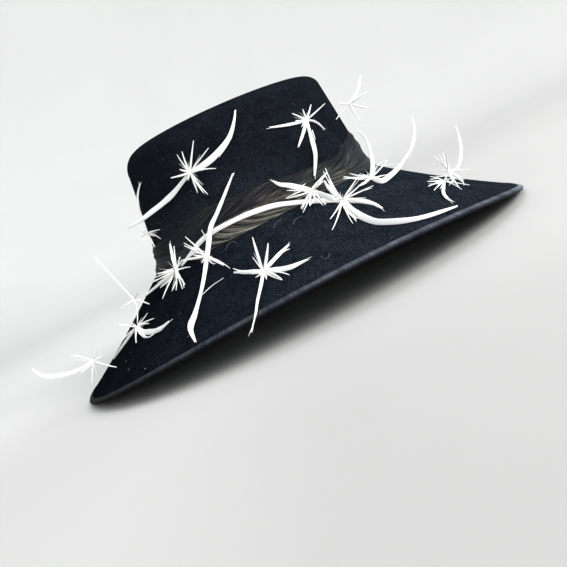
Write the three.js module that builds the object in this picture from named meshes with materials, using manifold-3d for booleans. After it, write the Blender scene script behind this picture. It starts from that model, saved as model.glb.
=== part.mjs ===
// Wide-brimmed felt hat with a bound rim, a draped horsehair band and sprays of white quills.
// Millimetres, +Z up, +X towards the front of the hat. The hat rests on the front and the back
// of its rim, and its sides are raised.
import * as THREE from 'three';
import { mergeVertices } from 'three/addons/utils/BufferGeometryUtils.js';
import Module from 'manifold-3d';

const wasm = await Module();
wasm.setup();

const SEGMENTS = 64;
const GAP = 0.3;

// The headline is the oval where crown and brim meet.
const HEADLINE = { length: 205.8, width: 168.8, height: 73.6 };

const CROWN = {
  rise: 93.8,
  frontTaper: 9.3,
  backTaper: 12.8,
  frontCorner: 10.5,
  backCorner: 19,
  topFall: 0.05,
  dome: 3.7,
  felt: 2.5,
  waist: 0.5,
  tipRing: 0.55,
};

const BRIM = {
  front: 209.8,
  back: 206.6,
  side: 185,
  sideRise: 27.2,
  frontLean: 6,
  flat: 1.6,
  felt: 2.2,
  edgeFelt: 1.2,
  edgeStep: 0.8,
  sag: 2.2,
  bends: [0.35, 0.7],
  collar: 8,
};

// The binding is a ribbon folded over the rim: a leg above, a leg below and a flattened foot.
const BINDING = { leg: 4.6, thickness: 3.2, ribbon: 0.7, foot: 0.6, round: 0.8 };

// One row for each place round the band, by the angle from the front of the hat in degrees.
// height: top edge above the headline. swell: how far the folds stand. foot: reach over the brim.
const BAND_PLACES = [
  { at: -180, height: 17, swell: 0.7, foot: 6.0 },
  { at: -140, height: 19, swell: 0.8, foot: 6.0 },
  { at: -115, height: 26, swell: 1.0, foot: 6.0 },
  { at: -90, height: 24, swell: 1.0, foot: 5.5 },
  { at: -65, height: 19, swell: 1.1, foot: 4.5 },
  { at: -48, height: 17, swell: 1.2, foot: 5.0 },
  { at: -30, height: 25, swell: 1.0, foot: 6.0 },
  { at: -12, height: 32, swell: 0.85, foot: 6.5 },
  { at: 15, height: 31, swell: 0.85, foot: 6.5 },
  { at: 60, height: 22, swell: 1.0, foot: 5.5 },
  { at: 115, height: 22, swell: 1.0, foot: 6.0 },
  { at: 180, height: 17, swell: 0.7, foot: 6.0 },
];
// One row for each fold, from the top edge down. share: of the band's height. stand: off the crown.
// drift: how far the fold wanders up and down on its way round, as a share of the height.
const BAND_FOLDS = [
  { share: 1.0, stand: 1.3, drift: 0 },
  { share: 0.87, stand: 2.4, drift: 0.03 },
  { share: 0.72, stand: 1.7, drift: 0.05 },
  { share: 0.54, stand: 2.8, drift: 0.06 },
  { share: 0.38, stand: 1.9, drift: 0.05 },
  { share: 0.2, stand: 3.0, drift: 0.03 },
];
const BAND = { seat: 0.45, seatWaist: 0.5, seatFoot: 0.06, footEdge: 1.0, footBend: 0.6, twists: 5 };

// The sprays are laid out on a view plane 567 mm square, 600 mm in front of an eye at the near
// side of the hat. A place on it is [mm from its left edge, mm down from its top edge], and it
// stands for the sight line through that point.
const VIEW = {
  eye: [-3.1, -540, 88.7],
  turn: -0.85,
  fall: 8.23,
  roll: 26.54,
  distance: 600,
  centre: 283.5,
};

// slack is how far a strip may fall back from its hub, away from the eye, for each mm of reach.
// The barbs of a spray take theirs in turn, some of them forward, so that it is a burst. graze is
// the flattest angle at which the stand off the felt still counts, and taut how often a strip is
// drawn straight between its neighbouring points.
const FEATHER = {
  barb: 1.3,
  ridge: 0.7,
  knob: 1.7,
  stand: 2.2,
  slack: 0.6,
  graze: 0.12,
  taut: 3,
  barbSlack: [0.5, -0.3, 0.2, -0.75, 0.6, -0.1],
};

// One row for each spray. hub: where its barbs meet. foot: where its stem is sewn on, if the hub
// stands clear. barbs: the tips. blades: the broad quills, with their width and their way from
// the hub to the tip.
const SPRAYS = [
  {
    name: 'spray_crown_back',
    hub: [190, 172.5],
    barbs: [
      [193, 142], [177, 155], [183, 153], [207.5, 148], [201.5, 157], [215.5, 168.5],
      [171, 177], [180, 171], [197, 190], [203, 191], [206.5, 192], [184, 179],
    ],
    blades: [
      { width: 4.2, way: [[207, 163], [219, 151], [226, 142], [232, 131], [235.5, 111]] },
      { width: 3.4, way: [[171, 196], [160.5, 205], [151.5, 212], [143.5, 218.5], [131, 226.5]] },
    ],
  },
  {
    name: 'spray_crown_front',
    hub: [306.5, 120.5],
    barbs: [
      [310.5, 105], [302, 109], [293.5, 114], [297, 120.5], [301, 126.5], [323, 105],
    ],
    blades: [
      { width: 2.2, way: [[290, 124.5], [271.5, 127.5]] },
      { width: 1.6, way: [[316, 122], [323, 128]] },
      { width: 2.2, way: [[303.5, 132], [299.5, 145]] },
      { width: 3.1, way: [[311, 137], [314.5, 149], [315.5, 159], [314.5, 175.5]] },
    ],
  },
  {
    name: 'spray_crown_far',
    hub: [349.5, 104],
    foot: [336.5, 119],
    barbs: [[361, 76], [367.5, 91], [364, 94], [360.5, 121.5], [338, 103]],
    blades: [{ width: 2, way: [[358, 106], [368, 108]] }],
  },
  {
    name: 'spray_band_front',
    hub: [371.5, 177.5],
    barbs: [[343.5, 179], [350, 173.5], [361.5, 174.5], [387.5, 160], [361.5, 185.5]],
    blades: [
      { width: 3.6, way: [[373, 166], [371.5, 158], [368, 144.5], [363.5, 136], [358.5, 131]] },
      {
        width: 3.8,
        way: [[381.5, 181.5], [389.5, 176.5], [397, 169.5], [403, 161.5], [411, 149], [414.5, 132],
          [412, 117]],
      },
    ],
  },
  {
    name: 'spray_brim_front',
    hub: [448.5, 170.5],
    foot: [444, 181],
    barbs: [
      [433.5, 156], [438, 154.5], [442.5, 153], [446.5, 153.5], [469, 169.5], [464, 180],
      [460, 188.5], [464.5, 184],
    ],
    footBarbs: [[432, 175.5], [435, 180.5], [432.5, 186.5], [438, 187]],
    blades: [{ width: 3.4, way: [[458, 166], [461, 151.5], [460, 139], [455.5, 126.5]] }],
    footBlades: [{ width: 2.8, way: [[444, 188.5], [444.5, 195.5], [450.5, 201]] }],
  },
  {
    name: 'spray_band_side',
    hub: [342, 200],
    stand: 2.8,
    barbs: [
      [326.5, 168.5], [325, 176.5], [325.5, 182], [359.5, 179.5], [362.5, 182.5], [373, 186],
      [331, 219], [333, 229.5], [353, 223.5], [356, 221.5],
    ],
    blades: [
      {
        width: 4.4,
        way: [[349, 208], [356, 213], [365, 218], [374, 221.5], [396, 221.5], [420, 218],
          [440, 212], [457, 206]],
      },
      { width: 3.4, way: [[360.5, 201], [369.5, 202.5], [376.5, 205], [382, 207.5]] },
      { width: 2.6, way: [[346, 209], [356, 218.5]] },
      {
        width: 3.8,
        hugs: true,
        way: [[317.5, 201], [302.5, 202], [280, 204.5], [265.5, 208], [240, 217.5], [223, 226.5],
          [211, 233], [198, 244], [189.5, 257]],
      },
    ],
  },
  {
    name: 'spray_band_top',
    hub: [311.5, 191.5],
    stand: 8.5,
    barbs: [
      [326.5, 174], [324.5, 180.5], [302, 207], [303, 212.5], [310.5, 205], [325, 204.5],
      [286.5, 198.5], [289.5, 190.5],
    ],
    blades: [{ width: 3.4, way: [[302.5, 188.5], [289, 185.5], [280, 184.5], [273, 181.5]] }],
  },
  {
    name: 'spray_band_back',
    hub: [207, 256.5],
    barbs: [
      [186.5, 237], [184.5, 246], [193.5, 255], [190, 259.5], [214, 264], [202, 262.5],
      [229, 267.5],
    ],
    blades: [
      { width: 3.4, way: [[208.5, 245.5], [210.5, 228], [214, 220], [222, 201], [233, 174.5]] },
      {
        width: 3.8,
        way: [[205.5, 271], [202, 290], [194.5, 312.5], [188.5, 327], [195, 341]],
      },
    ],
  },
  {
    name: 'spray_back_low',
    hub: [176.5, 270.5],
    barbs: [
      [174.5, 248.5], [179.5, 258], [189, 267], [157.5, 273.5], [156.5, 278], [153.5, 282.5],
      [163, 285.5], [163, 298.5], [176.5, 289.5], [182.5, 285.5], [185.5, 284.5],
    ],
    blades: [
      { width: 1.9, way: [[173, 258], [170.5, 245.5]] },
      { width: 1.8, way: [[160, 283.5], [146, 295]] },
    ],
  },
  {
    name: 'spray_brim_side',
    hub: [263.5, 271.5],
    stand: 4.4,
    barbs: [
      [252.5, 237.5], [252.5, 257.5], [267.5, 244.5], [288.5, 274.5], [283, 279], [255.5, 277.5],
      [266.5, 278.5],
    ],
    blades: [
      { width: 1.8, way: [[276, 257.5], [287.5, 245]] },
      { width: 2.6, way: [[250, 272], [234.5, 271.5]] },
      { width: 3.2, way: [[272.5, 270.5], [283, 269], [291, 267.5], [307.5, 260]] },
      {
        width: 2.1,
        way: [[260.5, 288], [258, 297.5], [256.5, 308.5], [254.5, 319], [251, 331.5]],
      },
    ],
  },
  {
    name: 'spray_back_high',
    hub: [134.5, 300],
    foot: [149, 304],
    barbs: [[120, 309.5], [128, 305], [133, 311], [138, 291]],
    blades: [{ width: 1.5, way: [[116, 280.5], [96.5, 259]] }],
  },
  {
    name: 'spray_back_side',
    hub: [136.5, 327],
    barbs: [
      [147.5, 313.5], [151.5, 319], [146.5, 325.5], [129.5, 322], [119, 325], [134, 337],
      [146, 338],
    ],
    blades: [
      { width: 3.2, way: [[141.5, 331], [149, 331], [159.5, 328], [169, 321]] },
      { width: 2, way: [[125, 342], [113.5, 359]] },
    ],
  },
  {
    name: 'spray_back_rim',
    hub: [93.5, 361.5],
    foot: [116, 367],
    barbs: [[75, 356], [97, 349.5], [103, 355.5], [81, 371.5], [92, 384]],
    blades: [
      {
        width: 3.4,
        way: [[81, 368.5], [70.5, 373], [59.5, 375.5], [49.5, 376.5], [39.5, 374.5], [32.5, 369.5]],
      },
    ],
  },
  {
    name: 'spray_crown_edge',
    hub: [147, 233],
    foot: [154, 236],
    barbs: [[159, 229], [154.5, 246], [134, 228.5], [139, 238]],
    blades: [{ width: 1.5, way: [[141.5, 218], [137.5, 200], [140, 184.5]] }],
  },
];

const COLOURS = {
  felt: { color: 0x12161f, roughness: 0.95 },
  binding: { color: 0x2a3242, roughness: 0.6 },
  horsehair: { color: 0x3b362f, roughness: 0.5 },
  quill: { color: 0xf4f2ee, roughness: 0.7 },
};

function material(colour) {
  return new THREE.MeshStandardMaterial({ ...COLOURS[colour], metalness: 0 });
}

// Drops what lies on a line, such as the quads at a pole, and merges the shared corners.
function closedGeometry(positions) {
  const loose = new THREE.BufferGeometry();
  loose.setAttribute('position', new THREE.Float32BufferAttribute(positions, 3));
  const merged = mergeVertices(loose, 1e-4);
  const kept = [];
  const index = merged.getIndex().array;
  for (let i = 0; i < index.length; i += 3) {
    const [a, b, c] = [index[i], index[i + 1], index[i + 2]];
    if (a !== b && b !== c && c !== a) kept.push(a, b, c);
  }
  merged.setIndex(kept);
  return merged;
}

// Skins rows of points. Each row is a closed ring, and the last row joins the first.
function skinRings(rings) {
  const positions = [];
  const rows = rings.length;
  const count = rings[0].length;
  for (let i = 0; i < rows; i += 1) {
    const lower = rings[i];
    const upper = rings[(i + 1) % rows];
    for (let j = 0; j < count; j += 1) {
      const k = (j + 1) % count;
      for (const point of [lower[j], lower[k], upper[k], lower[j], upper[k], upper[j]]) {
        positions.push(point.x, point.y, point.z);
      }
    }
  }
  return closedGeometry(positions);
}

// Carries a closed section round the hat, where pointsAt(angle) is the section at an angle.
function sweptRing(pointsAt) {
  const sections = Array.from({ length: SEGMENTS }, (_, i) => pointsAt((i * 2 * Math.PI) / SEGMENTS));
  return skinRings(sections[0].map((_, row) => sections.map((section) => section[row])));
}

function mix(a, b, share) {
  return a + (b - a) * share;
}

function crownCorner(angle) {
  return mix(CROWN.backCorner, CROWN.frontCorner, (1 + Math.cos(angle)) / 2);
}

function crownTop(x) {
  return HEADLINE.height + CROWN.rise - CROWN.topFall * x;
}

// A point of the crown's outline, with its half length and half width made smaller by inset.
function crownOval(angle, share, inset) {
  const taper = Math.cos(angle) >= 0 ? CROWN.frontTaper : CROWN.backTaper;
  const sideTaper = (CROWN.frontTaper + CROWN.backTaper) / 2;
  const x = (HEADLINE.length / 2 - taper * share - inset) * Math.cos(angle);
  const y = (HEADLINE.width / 2 - sideTaper * share - inset) * Math.sin(angle);
  return new THREE.Vector3(x, y, 0);
}

// A point on the crown's side. share runs from the headline, 0, to the start of the top edge, 1.
function crownSide(angle, share, out) {
  const point = crownOval(angle, share, -out);
  const face = crownOval(angle, share, 0);
  const height = crownTop(face.x) - crownCorner(angle) - HEADLINE.height;
  return point.setZ(HEADLINE.height + height * share);
}

function crownShare(angle, rise) {
  const top = crownTop(crownOval(angle, 1, 0).x);
  return rise / (top - crownCorner(angle) - HEADLINE.height);
}

// A point on the rounded top edge, turned by bend from the side, 0, to the top, a right angle.
function crownEdge(angle, bend, wall) {
  const corner = crownCorner(angle);
  const round = corner - wall;
  const point = crownOval(angle, 1, wall + round * (1 - Math.cos(bend)));
  return point.setZ(crownTop(point.x) - corner + round * Math.sin(bend));
}

// A point on the top, at a share of the way out from its middle.
function crownTip(angle, share, wall) {
  const edge = crownOval(angle, 1, crownCorner(angle)).multiplyScalar(share);
  return edge.setZ(crownTop(edge.x) - wall + CROWN.dome * (1 - share * share));
}

function crownSection(angle) {
  const felt = CROWN.felt;
  const base = crownSide(angle, 0, 0);
  const innerBase = crownSide(angle, 0, -felt);
  return [
    base.setZ(base.z + GAP),
    crownSide(angle, CROWN.waist, 0),
    crownSide(angle, 1, 0),
    crownEdge(angle, Math.PI / 6, 0),
    crownEdge(angle, Math.PI / 3, 0),
    crownEdge(angle, Math.PI / 2, 0),
    crownTip(angle, CROWN.tipRing, 0),
    crownTip(angle, 0, 0),
    crownTip(angle, 0, felt),
    crownTip(angle, CROWN.tipRing, felt),
    crownEdge(angle, Math.PI / 2, felt),
    crownEdge(angle, Math.PI / 4, felt),
    crownSide(angle, 1, -felt),
    innerBase.setZ(innerBase.z + GAP),
  ];
}

// The foot of the rim at an angle: flat on the ground at the front and back, raised at the sides.
function rimFoot(angle) {
  const half = Math.cos(angle) >= 0 ? BRIM.front : BRIM.back;
  const across = Math.sin(angle) ** 2;
  const rise = BRIM.sideRise * across + BRIM.frontLean * Math.cos(angle) * across - BRIM.flat;
  return new THREE.Vector3(half * Math.cos(angle), BRIM.side * Math.sin(angle), Math.max(0, rise));
}

// The slope of the brim at an angle. at(along, up) is a point, along the slope from the rim and up
// from the underside of the binding, and length is the way from the rim to the headline.
function brimSlope(angle) {
  const foot = rimFoot(angle);
  const head = crownSide(angle, 0, 0);
  const outward = foot.clone().sub(head).setZ(0);
  const run = outward.length();
  outward.normalize();
  const lie = Math.atan2(head.z - foot.z, run);
  const corner = foot.clone().addScaledVector(outward, -BINDING.thickness * Math.sin(lie));
  corner.z -= BINDING.foot;
  const feltTop = (BINDING.thickness + BRIM.felt) / 2;
  const end = head.clone().addScaledVector(outward, -feltTop * Math.sin(lie));
  end.z -= feltTop * Math.cos(lie);
  const inward = end.clone().sub(corner);
  const length = inward.length();
  inward.normalize();
  const fall = Math.asin(inward.z);
  const normal = outward.clone().multiplyScalar(Math.sin(fall)).setZ(Math.cos(fall));
  const full = BINDING.leg + 2 * BRIM.edgeStep;
  const at = (along, up) => {
    const share = Math.max(0, along - full) / (length - full);
    const point = corner.clone().addScaledVector(inward, along).addScaledVector(normal, up);
    point.z -= BRIM.sag * 4 * share * (1 - share);
    return point;
  };
  return { at, length, fall, head, feltTop, full };
}

function brimSection(angle) {
  const { at, length, head, feltTop, full } = brimSlope(angle);
  const nose = BINDING.ribbon + GAP;
  const edgeTop = (BINDING.thickness + BRIM.edgeFelt) / 2;
  const feltUnder = feltTop - BRIM.felt;
  const edgeUnder = edgeTop - BRIM.edgeFelt;
  const step = BINDING.leg + BRIM.edgeStep;
  const [outerBend, innerBend] = BRIM.bends;
  const collarFace = CROWN.felt + GAP;
  const collarBack = collarFace + BRIM.felt;
  const collarShare = crownShare(angle, BRIM.collar);
  const shelf = crownSide(angle, 0, -collarFace);
  const collarFoot = crownSide(angle, 0, -collarBack);
  return [
    at(nose, edgeUnder),
    at(nose, edgeTop),
    at(step, edgeTop),
    at(full, feltTop),
    at(length * outerBend, feltTop),
    at(length * innerBend, feltTop),
    head,
    shelf,
    crownSide(angle, collarShare, -collarFace),
    crownSide(angle, collarShare, -collarBack),
    collarFoot.setZ(collarFoot.z - BRIM.felt / 2),
    at(length - BRIM.felt / 2, feltUnder),
    at(length * innerBend, feltUnder),
    at(length * outerBend, feltUnder),
    at(full, feltUnder),
    at(step, edgeUnder),
  ];
}

function bindingSection(angle) {
  const { at, fall } = brimSlope(angle);
  const { leg, thickness, ribbon, foot, round } = BINDING;
  return [
    at(foot / Math.sin(fall), 0),
    at(0, foot / Math.cos(fall)),
    at(0, thickness - round),
    at(round, thickness),
    at(leg, thickness),
    at(leg, thickness - ribbon),
    at(ribbon, thickness - ribbon),
    at(ribbon, ribbon),
    at(leg, ribbon),
    at(leg, 0),
  ];
}

// The band's height, swell and foot at an angle, eased between the rows of its table.
function bandPlace(angle) {
  const degrees = THREE.MathUtils.euclideanModulo(THREE.MathUtils.radToDeg(angle) + 180, 360) - 180;
  const next = BAND_PLACES.findIndex((row) => row.at > degrees);
  const [from, to] = [BAND_PLACES[next - 1], BAND_PLACES[next]];
  const share = THREE.MathUtils.smoothstep(degrees, from.at, to.at);
  return {
    height: mix(from.height, to.height, share),
    swell: mix(from.swell, to.swell, share),
    foot: mix(from.foot, to.foot, share),
  };
}

function bandSection(angle) {
  const place = bandPlace(angle);
  const { at, length, feltTop } = brimSlope(angle);
  const onCrown = (share, stand) => crownSide(angle, crownShare(angle, place.height * share), stand);
  const folds = BAND_FOLDS.map(({ share, stand, drift }, row) => {
    const twist = Math.sin(angle * BAND.twists + row);
    return onCrown(share + drift * twist, stand * place.swell);
  });
  const footEnd = length - place.foot;
  return [
    onCrown(1, BAND.seat),
    onCrown(BAND.seatWaist, BAND.seat),
    onCrown(BAND.seatFoot, BAND.seat),
    at(length - BAND.seat, feltTop + BAND.seat),
    at(footEnd, feltTop + BAND.seat),
    at(footEnd, feltTop + BAND.seat + BAND.footEdge),
    at(length - place.foot * BAND.footBend, feltTop + BAND.seat + 2 * BAND.footEdge),
    ...folds.reverse(),
  ];
}

function ringMesh(name, colour, pointsAt) {
  const mesh = new THREE.Mesh(sweptRing(pointsAt), material(colour));
  mesh.name = name;
  return mesh;
}

// The view plane's right, up and forward directions.
function viewAxes() {
  const turn = THREE.MathUtils.degToRad(VIEW.turn);
  const fall = THREE.MathUtils.degToRad(VIEW.fall);
  const roll = THREE.MathUtils.degToRad(VIEW.roll);
  const forward = new THREE.Vector3(
    Math.sin(turn) * Math.cos(fall),
    Math.cos(turn) * Math.cos(fall),
    -Math.sin(fall),
  );
  const level = new THREE.Vector3().crossVectors(forward, new THREE.Vector3(0, 0, 1)).normalize();
  const above = new THREE.Vector3().crossVectors(level, forward);
  const right = level.clone().multiplyScalar(Math.cos(roll)).addScaledVector(above, -Math.sin(roll));
  const up = above.clone().multiplyScalar(Math.cos(roll)).addScaledVector(level, Math.sin(roll));
  return { right, up, forward };
}

const EYE = new THREE.Vector3(...VIEW.eye);
const AXES = viewAxes();

// The point of a sight line that lies at a depth, measured forward from the eye.
function sighted([x, y], depth) {
  const ray = AXES.forward.clone().multiplyScalar(VIEW.distance);
  ray.addScaledVector(AXES.right, x - VIEW.centre).addScaledVector(AXES.up, VIEW.centre - y);
  return EYE.clone().addScaledVector(ray, depth / VIEW.distance);
}

// The depth at which a sight line comes within stand of the hat's surface, or undefined.
function surfaceDepth(place, stand, carriers) {
  const direction = sighted(place, 1).sub(EYE).normalize();
  const [hit] = new THREE.Raycaster(EYE, direction).intersectObjects(carriers, false);
  if (!hit) return undefined;
  const graze = Math.max(FEATHER.graze, Math.abs(hit.face.normal.dot(direction)));
  return (hit.distance - stand / graze) * direction.dot(AXES.forward);
}

// Follows a way on the view plane in space. It keeps clear of the surface by stand, falls back
// from the hub by no more than slack allows, and is drawn taut towards the eye.
function wayInSpace(way, count, hubDepth, stand, slack, carriers) {
  const flat = new THREE.SplineCurve(way.map(([x, y]) => new THREE.Vector2(x, y)));
  const places = flat.getSpacedPoints(count - 1).map(({ x, y }) => [x, y]);
  const depths = [hubDepth];
  for (let i = 1; i < count; i += 1) {
    const [x, y] = places[i];
    const reach = Math.hypot(x - places[0][0], y - places[0][1]);
    const surface = surfaceDepth(places[i], stand, carriers);
    depths.push(Math.min(surface ?? depths[i - 1], hubDepth + slack * reach));
  }
  for (let pass = 0; pass < FEATHER.taut; pass += 1) {
    for (let i = 1; i < count - 1; i += 1) {
      depths[i] = Math.min(depths[i], (depths[i - 1] + depths[i + 1]) / 2);
    }
  }
  return places.map((place, i) => sighted(place, depths[i]));
}

// A quill strip: a flat back and a ridge towards the eye, swept along points.
function stripGeometry(points, widths, ridge) {
  const rings = points.map((point, i) => {
    const before = points[Math.max(0, i - 1)];
    const after = points[Math.min(points.length - 1, i + 1)];
    const tangent = after.clone().sub(before).normalize();
    const sight = point.clone().sub(EYE).normalize();
    const side = new THREE.Vector3().crossVectors(tangent, sight).normalize();
    const front = new THREE.Vector3().crossVectors(tangent, side).normalize();
    const thick = ridge * Math.min(1, widths[i]);
    return [
      point.clone().addScaledVector(side, -widths[i] / 2).addScaledVector(front, -thick / 2),
      point.clone().addScaledVector(side, widths[i] / 2).addScaledVector(front, -thick / 2),
      point.clone().addScaledVector(front, thick / 2),
    ];
  });
  const positions = [];
  const push = (...corners) => corners.forEach((corner) => positions.push(corner.x, corner.y, corner.z));
  for (let i = 0; i < rings.length - 1; i += 1) {
    for (let j = 0; j < 3; j += 1) {
      const k = (j + 1) % 3;
      push(rings[i][j], rings[i][k], rings[i + 1][k]);
      push(rings[i][j], rings[i + 1][k], rings[i + 1][j]);
    }
  }
  const last = rings.length - 1;
  push(rings[0][2], rings[0][1], rings[0][0]);
  push(rings[last][0], rings[last][1], rings[last][2]);
  return closedGeometry(positions);
}

// The width of a strip at a share of its length: narrow at the hub, broad beyond, then pointed.
function stripWidth(share, belly) {
  const root = 0.45;
  const point = 0.22;
  return share < belly
    ? mix(root, 1, Math.sin((share / belly) * Math.PI * 0.5))
    : mix(1, point, ((share - belly) / (1 - belly)) ** 1.6);
}

function widthsAlong(count, width, belly) {
  return Array.from({ length: count }, (_, i) => width * stripWidth(i / (count - 1), belly));
}

function solidFrom(geometry) {
  const bare = geometry.clone();
  bare.deleteAttribute('normal');
  bare.deleteAttribute('uv');
  const merged = mergeVertices(bare, 1e-4);
  return new wasm.Manifold(new wasm.Mesh({
    numProp: 3,
    vertProperties: new Float32Array(merged.getAttribute('position').array),
    triVerts: new Uint32Array(merged.getIndex().array),
  }));
}

function geometryFrom(solid) {
  const { vertProperties, triVerts } = solid.getMesh();
  const geometry = new THREE.BufferGeometry();
  geometry.setAttribute('position', new THREE.BufferAttribute(vertProperties, 3));
  geometry.setIndex(new THREE.BufferAttribute(triVerts, 1));
  return geometry;
}

function knob(point) {
  const geometry = new THREE.IcosahedronGeometry(FEATHER.knob, 0);
  return geometry.translate(point.x, point.y, point.z);
}

function sprayMesh(spray, carriers) {
  const stand = spray.stand ?? FEATHER.stand;
  const foot = spray.foot ?? spray.hub;
  const depth = surfaceDepth(foot, FEATHER.knob + GAP, carriers);
  const pieces = [knob(sighted(foot, depth))];
  const addStrip = (way, width, count, belly, slack) => {
    const points = wayInSpace(way, count, depth, stand, slack, carriers);
    pieces.push(stripGeometry(points, widthsAlong(count, width, belly), FEATHER.ridge));
  };
  const addFrom = (start, barbs, blades) => {
    (barbs ?? []).forEach((tip, i) => {
      const slack = FEATHER.barbSlack[i % FEATHER.barbSlack.length];
      addStrip([start, tip], FEATHER.barb, 3, 0.5, slack);
    });
    for (const { width, way, hugs } of blades ?? []) {
      const count = way.length + 2;
      addStrip([start, ...way], width, count, 0.65, hugs ? Infinity : FEATHER.slack);
    }
  };
  if (spray.foot) {
    pieces.push(knob(sighted(spray.hub, depth)));
    addStrip([spray.foot, spray.hub], FEATHER.barb, 3, 0.5, 0);
  }
  addFrom(spray.hub, spray.barbs, spray.blades);
  addFrom(foot, spray.footBarbs, spray.footBlades);
  const solid = pieces.map(solidFrom).reduce((whole, piece) => whole.add(piece));
  const mesh = new THREE.Mesh(geometryFrom(solid), material('quill'));
  mesh.name = spray.name;
  return mesh;
}

function buildHat() {
  const hat = new THREE.Group();
  const felts = [
    ringMesh('crown', 'felt', crownSection),
    ringMesh('brim', 'felt', brimSection),
    ringMesh('brim_binding', 'binding', bindingSection),
    ringMesh('horsehair_band', 'horsehair', bandSection),
  ];
  hat.add(...felts);
  for (const spray of SPRAYS) hat.add(sprayMesh(spray, felts));
  const box = new THREE.Box3().setFromObject(hat);
  const middle = box.getCenter(new THREE.Vector3());
  hat.position.set(-middle.x, -middle.y, -box.min.z);
  return hat;
}

export default buildHat();
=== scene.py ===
"""Looks for the felt hat: navy velour felt, ribbed rim ribbon, horsehair wrap and white quills.

Lengths in the tables are millimetres in the hat's own frame, with the headline oval about the
origin. Everything is put into the row frame, in metres, by place().
"""

import math

import bpy
import numpy as np
from mathutils import Matrix, Vector
from mathutils.bvhtree import BVHTree


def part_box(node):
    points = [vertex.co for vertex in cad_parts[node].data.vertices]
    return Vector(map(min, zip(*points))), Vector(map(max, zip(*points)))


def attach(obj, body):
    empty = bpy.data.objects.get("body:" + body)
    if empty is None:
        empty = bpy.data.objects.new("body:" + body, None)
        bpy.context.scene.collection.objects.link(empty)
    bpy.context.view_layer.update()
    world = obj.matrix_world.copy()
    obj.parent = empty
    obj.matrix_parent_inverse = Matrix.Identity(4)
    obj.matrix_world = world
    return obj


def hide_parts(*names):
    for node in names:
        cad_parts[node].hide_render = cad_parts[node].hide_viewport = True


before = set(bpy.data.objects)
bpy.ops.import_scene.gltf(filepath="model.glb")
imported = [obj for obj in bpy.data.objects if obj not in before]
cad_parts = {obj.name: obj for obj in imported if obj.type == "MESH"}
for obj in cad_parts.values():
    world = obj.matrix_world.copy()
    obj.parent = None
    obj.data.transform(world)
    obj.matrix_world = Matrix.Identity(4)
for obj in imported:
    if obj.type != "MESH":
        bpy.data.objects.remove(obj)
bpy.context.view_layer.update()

crown_low, crown_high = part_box("crown")
SHIFT = np.array([(crown_low.x + crown_high.x) * 500, (crown_low.y + crown_high.y) * 500, 0.0])

HEADLINE = {"length": 205.8, "width": 168.8, "height": 73.6}
CROWN = {
    "rise": 93.8, "front_taper": 9.3, "back_taper": 12.8, "front_corner": 10.5,
    "back_corner": 19.0, "top_fall": 0.05, "dome": 3.7, "felt": 2.5,
}
BRIM = {
    "front": 209.8, "back": 206.6, "side": 185.0, "side_rise": 27.2, "front_lean": 6.0,
    "flat": 1.6, "felt": 2.2, "edge_felt": 1.2, "edge_step": 0.8, "sag": 2.2, "collar": 8.0,
}
BINDING = {"leg": 4.6, "thickness": 3.2, "foot": 0.6, "round": 0.9, "rib": 1.19, "relief": 0.09}
GAP = 0.3
CROWN_STEPS, BRIM_STEPS, RIM_STEPS, RIB_STEPS = 288, 360, 4096, 4
LOOSE_HAIRS, LINT_FIBRES = 900, 90
LINT_STAND, CURL_STAND = 0.16, 0.22
# The floor's cove, in metres.
FLOOR = {"steps": 96, "flat": 1.5, "cove": 1.3, "wall": 2.0}

# One row for each place round the band, by the angle from the front of the hat in degrees.
BAND_PLACES = [
    {"at": -180, "height": 17, "swell": 0.7, "foot": 6.0},
    {"at": -140, "height": 19, "swell": 0.8, "foot": 6.0},
    {"at": -115, "height": 26, "swell": 1.0, "foot": 6.0},
    {"at": -90, "height": 24, "swell": 1.0, "foot": 5.5},
    {"at": -65, "height": 19, "swell": 1.1, "foot": 4.5},
    {"at": -48, "height": 17, "swell": 1.2, "foot": 5.0},
    {"at": -30, "height": 25, "swell": 1.0, "foot": 6.0},
    {"at": -12, "height": 32, "swell": 0.85, "foot": 6.5},
    {"at": 15, "height": 31, "swell": 0.85, "foot": 6.5},
    {"at": 60, "height": 22, "swell": 1.0, "foot": 5.5},
    {"at": 115, "height": 22, "swell": 1.0, "foot": 6.0},
    {"at": 180, "height": 17, "swell": 0.7, "foot": 6.0},
]
# One row for each fold, from the top edge down.
BAND_FOLDS = [
    {"share": 0.99, "stand": 0.585, "drift": 0.0},
    {"share": 0.87, "stand": 1.92, "drift": 0.03},
    {"share": 0.72, "stand": 1.7, "drift": 0.05},
    {"share": 0.54, "stand": 2.8, "drift": 0.06},
    {"share": 0.38, "stand": 1.9, "drift": 0.05},
    {"share": 0.2, "stand": 3.0, "drift": 0.03},
]
BAND = {"seat": 0.45, "foot_edge": 1.0, "foot_bend": 0.6, "twists": 5, "pleats": 13, "relief": 0.34}

VIEW = {
    "eye": (-3.1, -540.0, 88.7), "turn": -0.85, "fall": 8.23, "roll": 26.54,
    "distance": 600.0, "centre": 283.5,
}
FEATHER = {
    "barb": 1.95, "ridge": 0.7, "knob": 1.7, "stand": 2.2, "slack": 0.6, "graze": 0.12, "taut": 3,
    "barb_slack": (0.5, -0.3, 0.2, -0.75, 0.6, -0.1),
}


def blade(widths, *way, hugs=False):
    """A flat quill: its widths from root to tip, and its way on from the hub. One that hugs the
    hat follows it all along."""
    return {"widths": widths, "way": way, "hugs": hugs}


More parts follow.
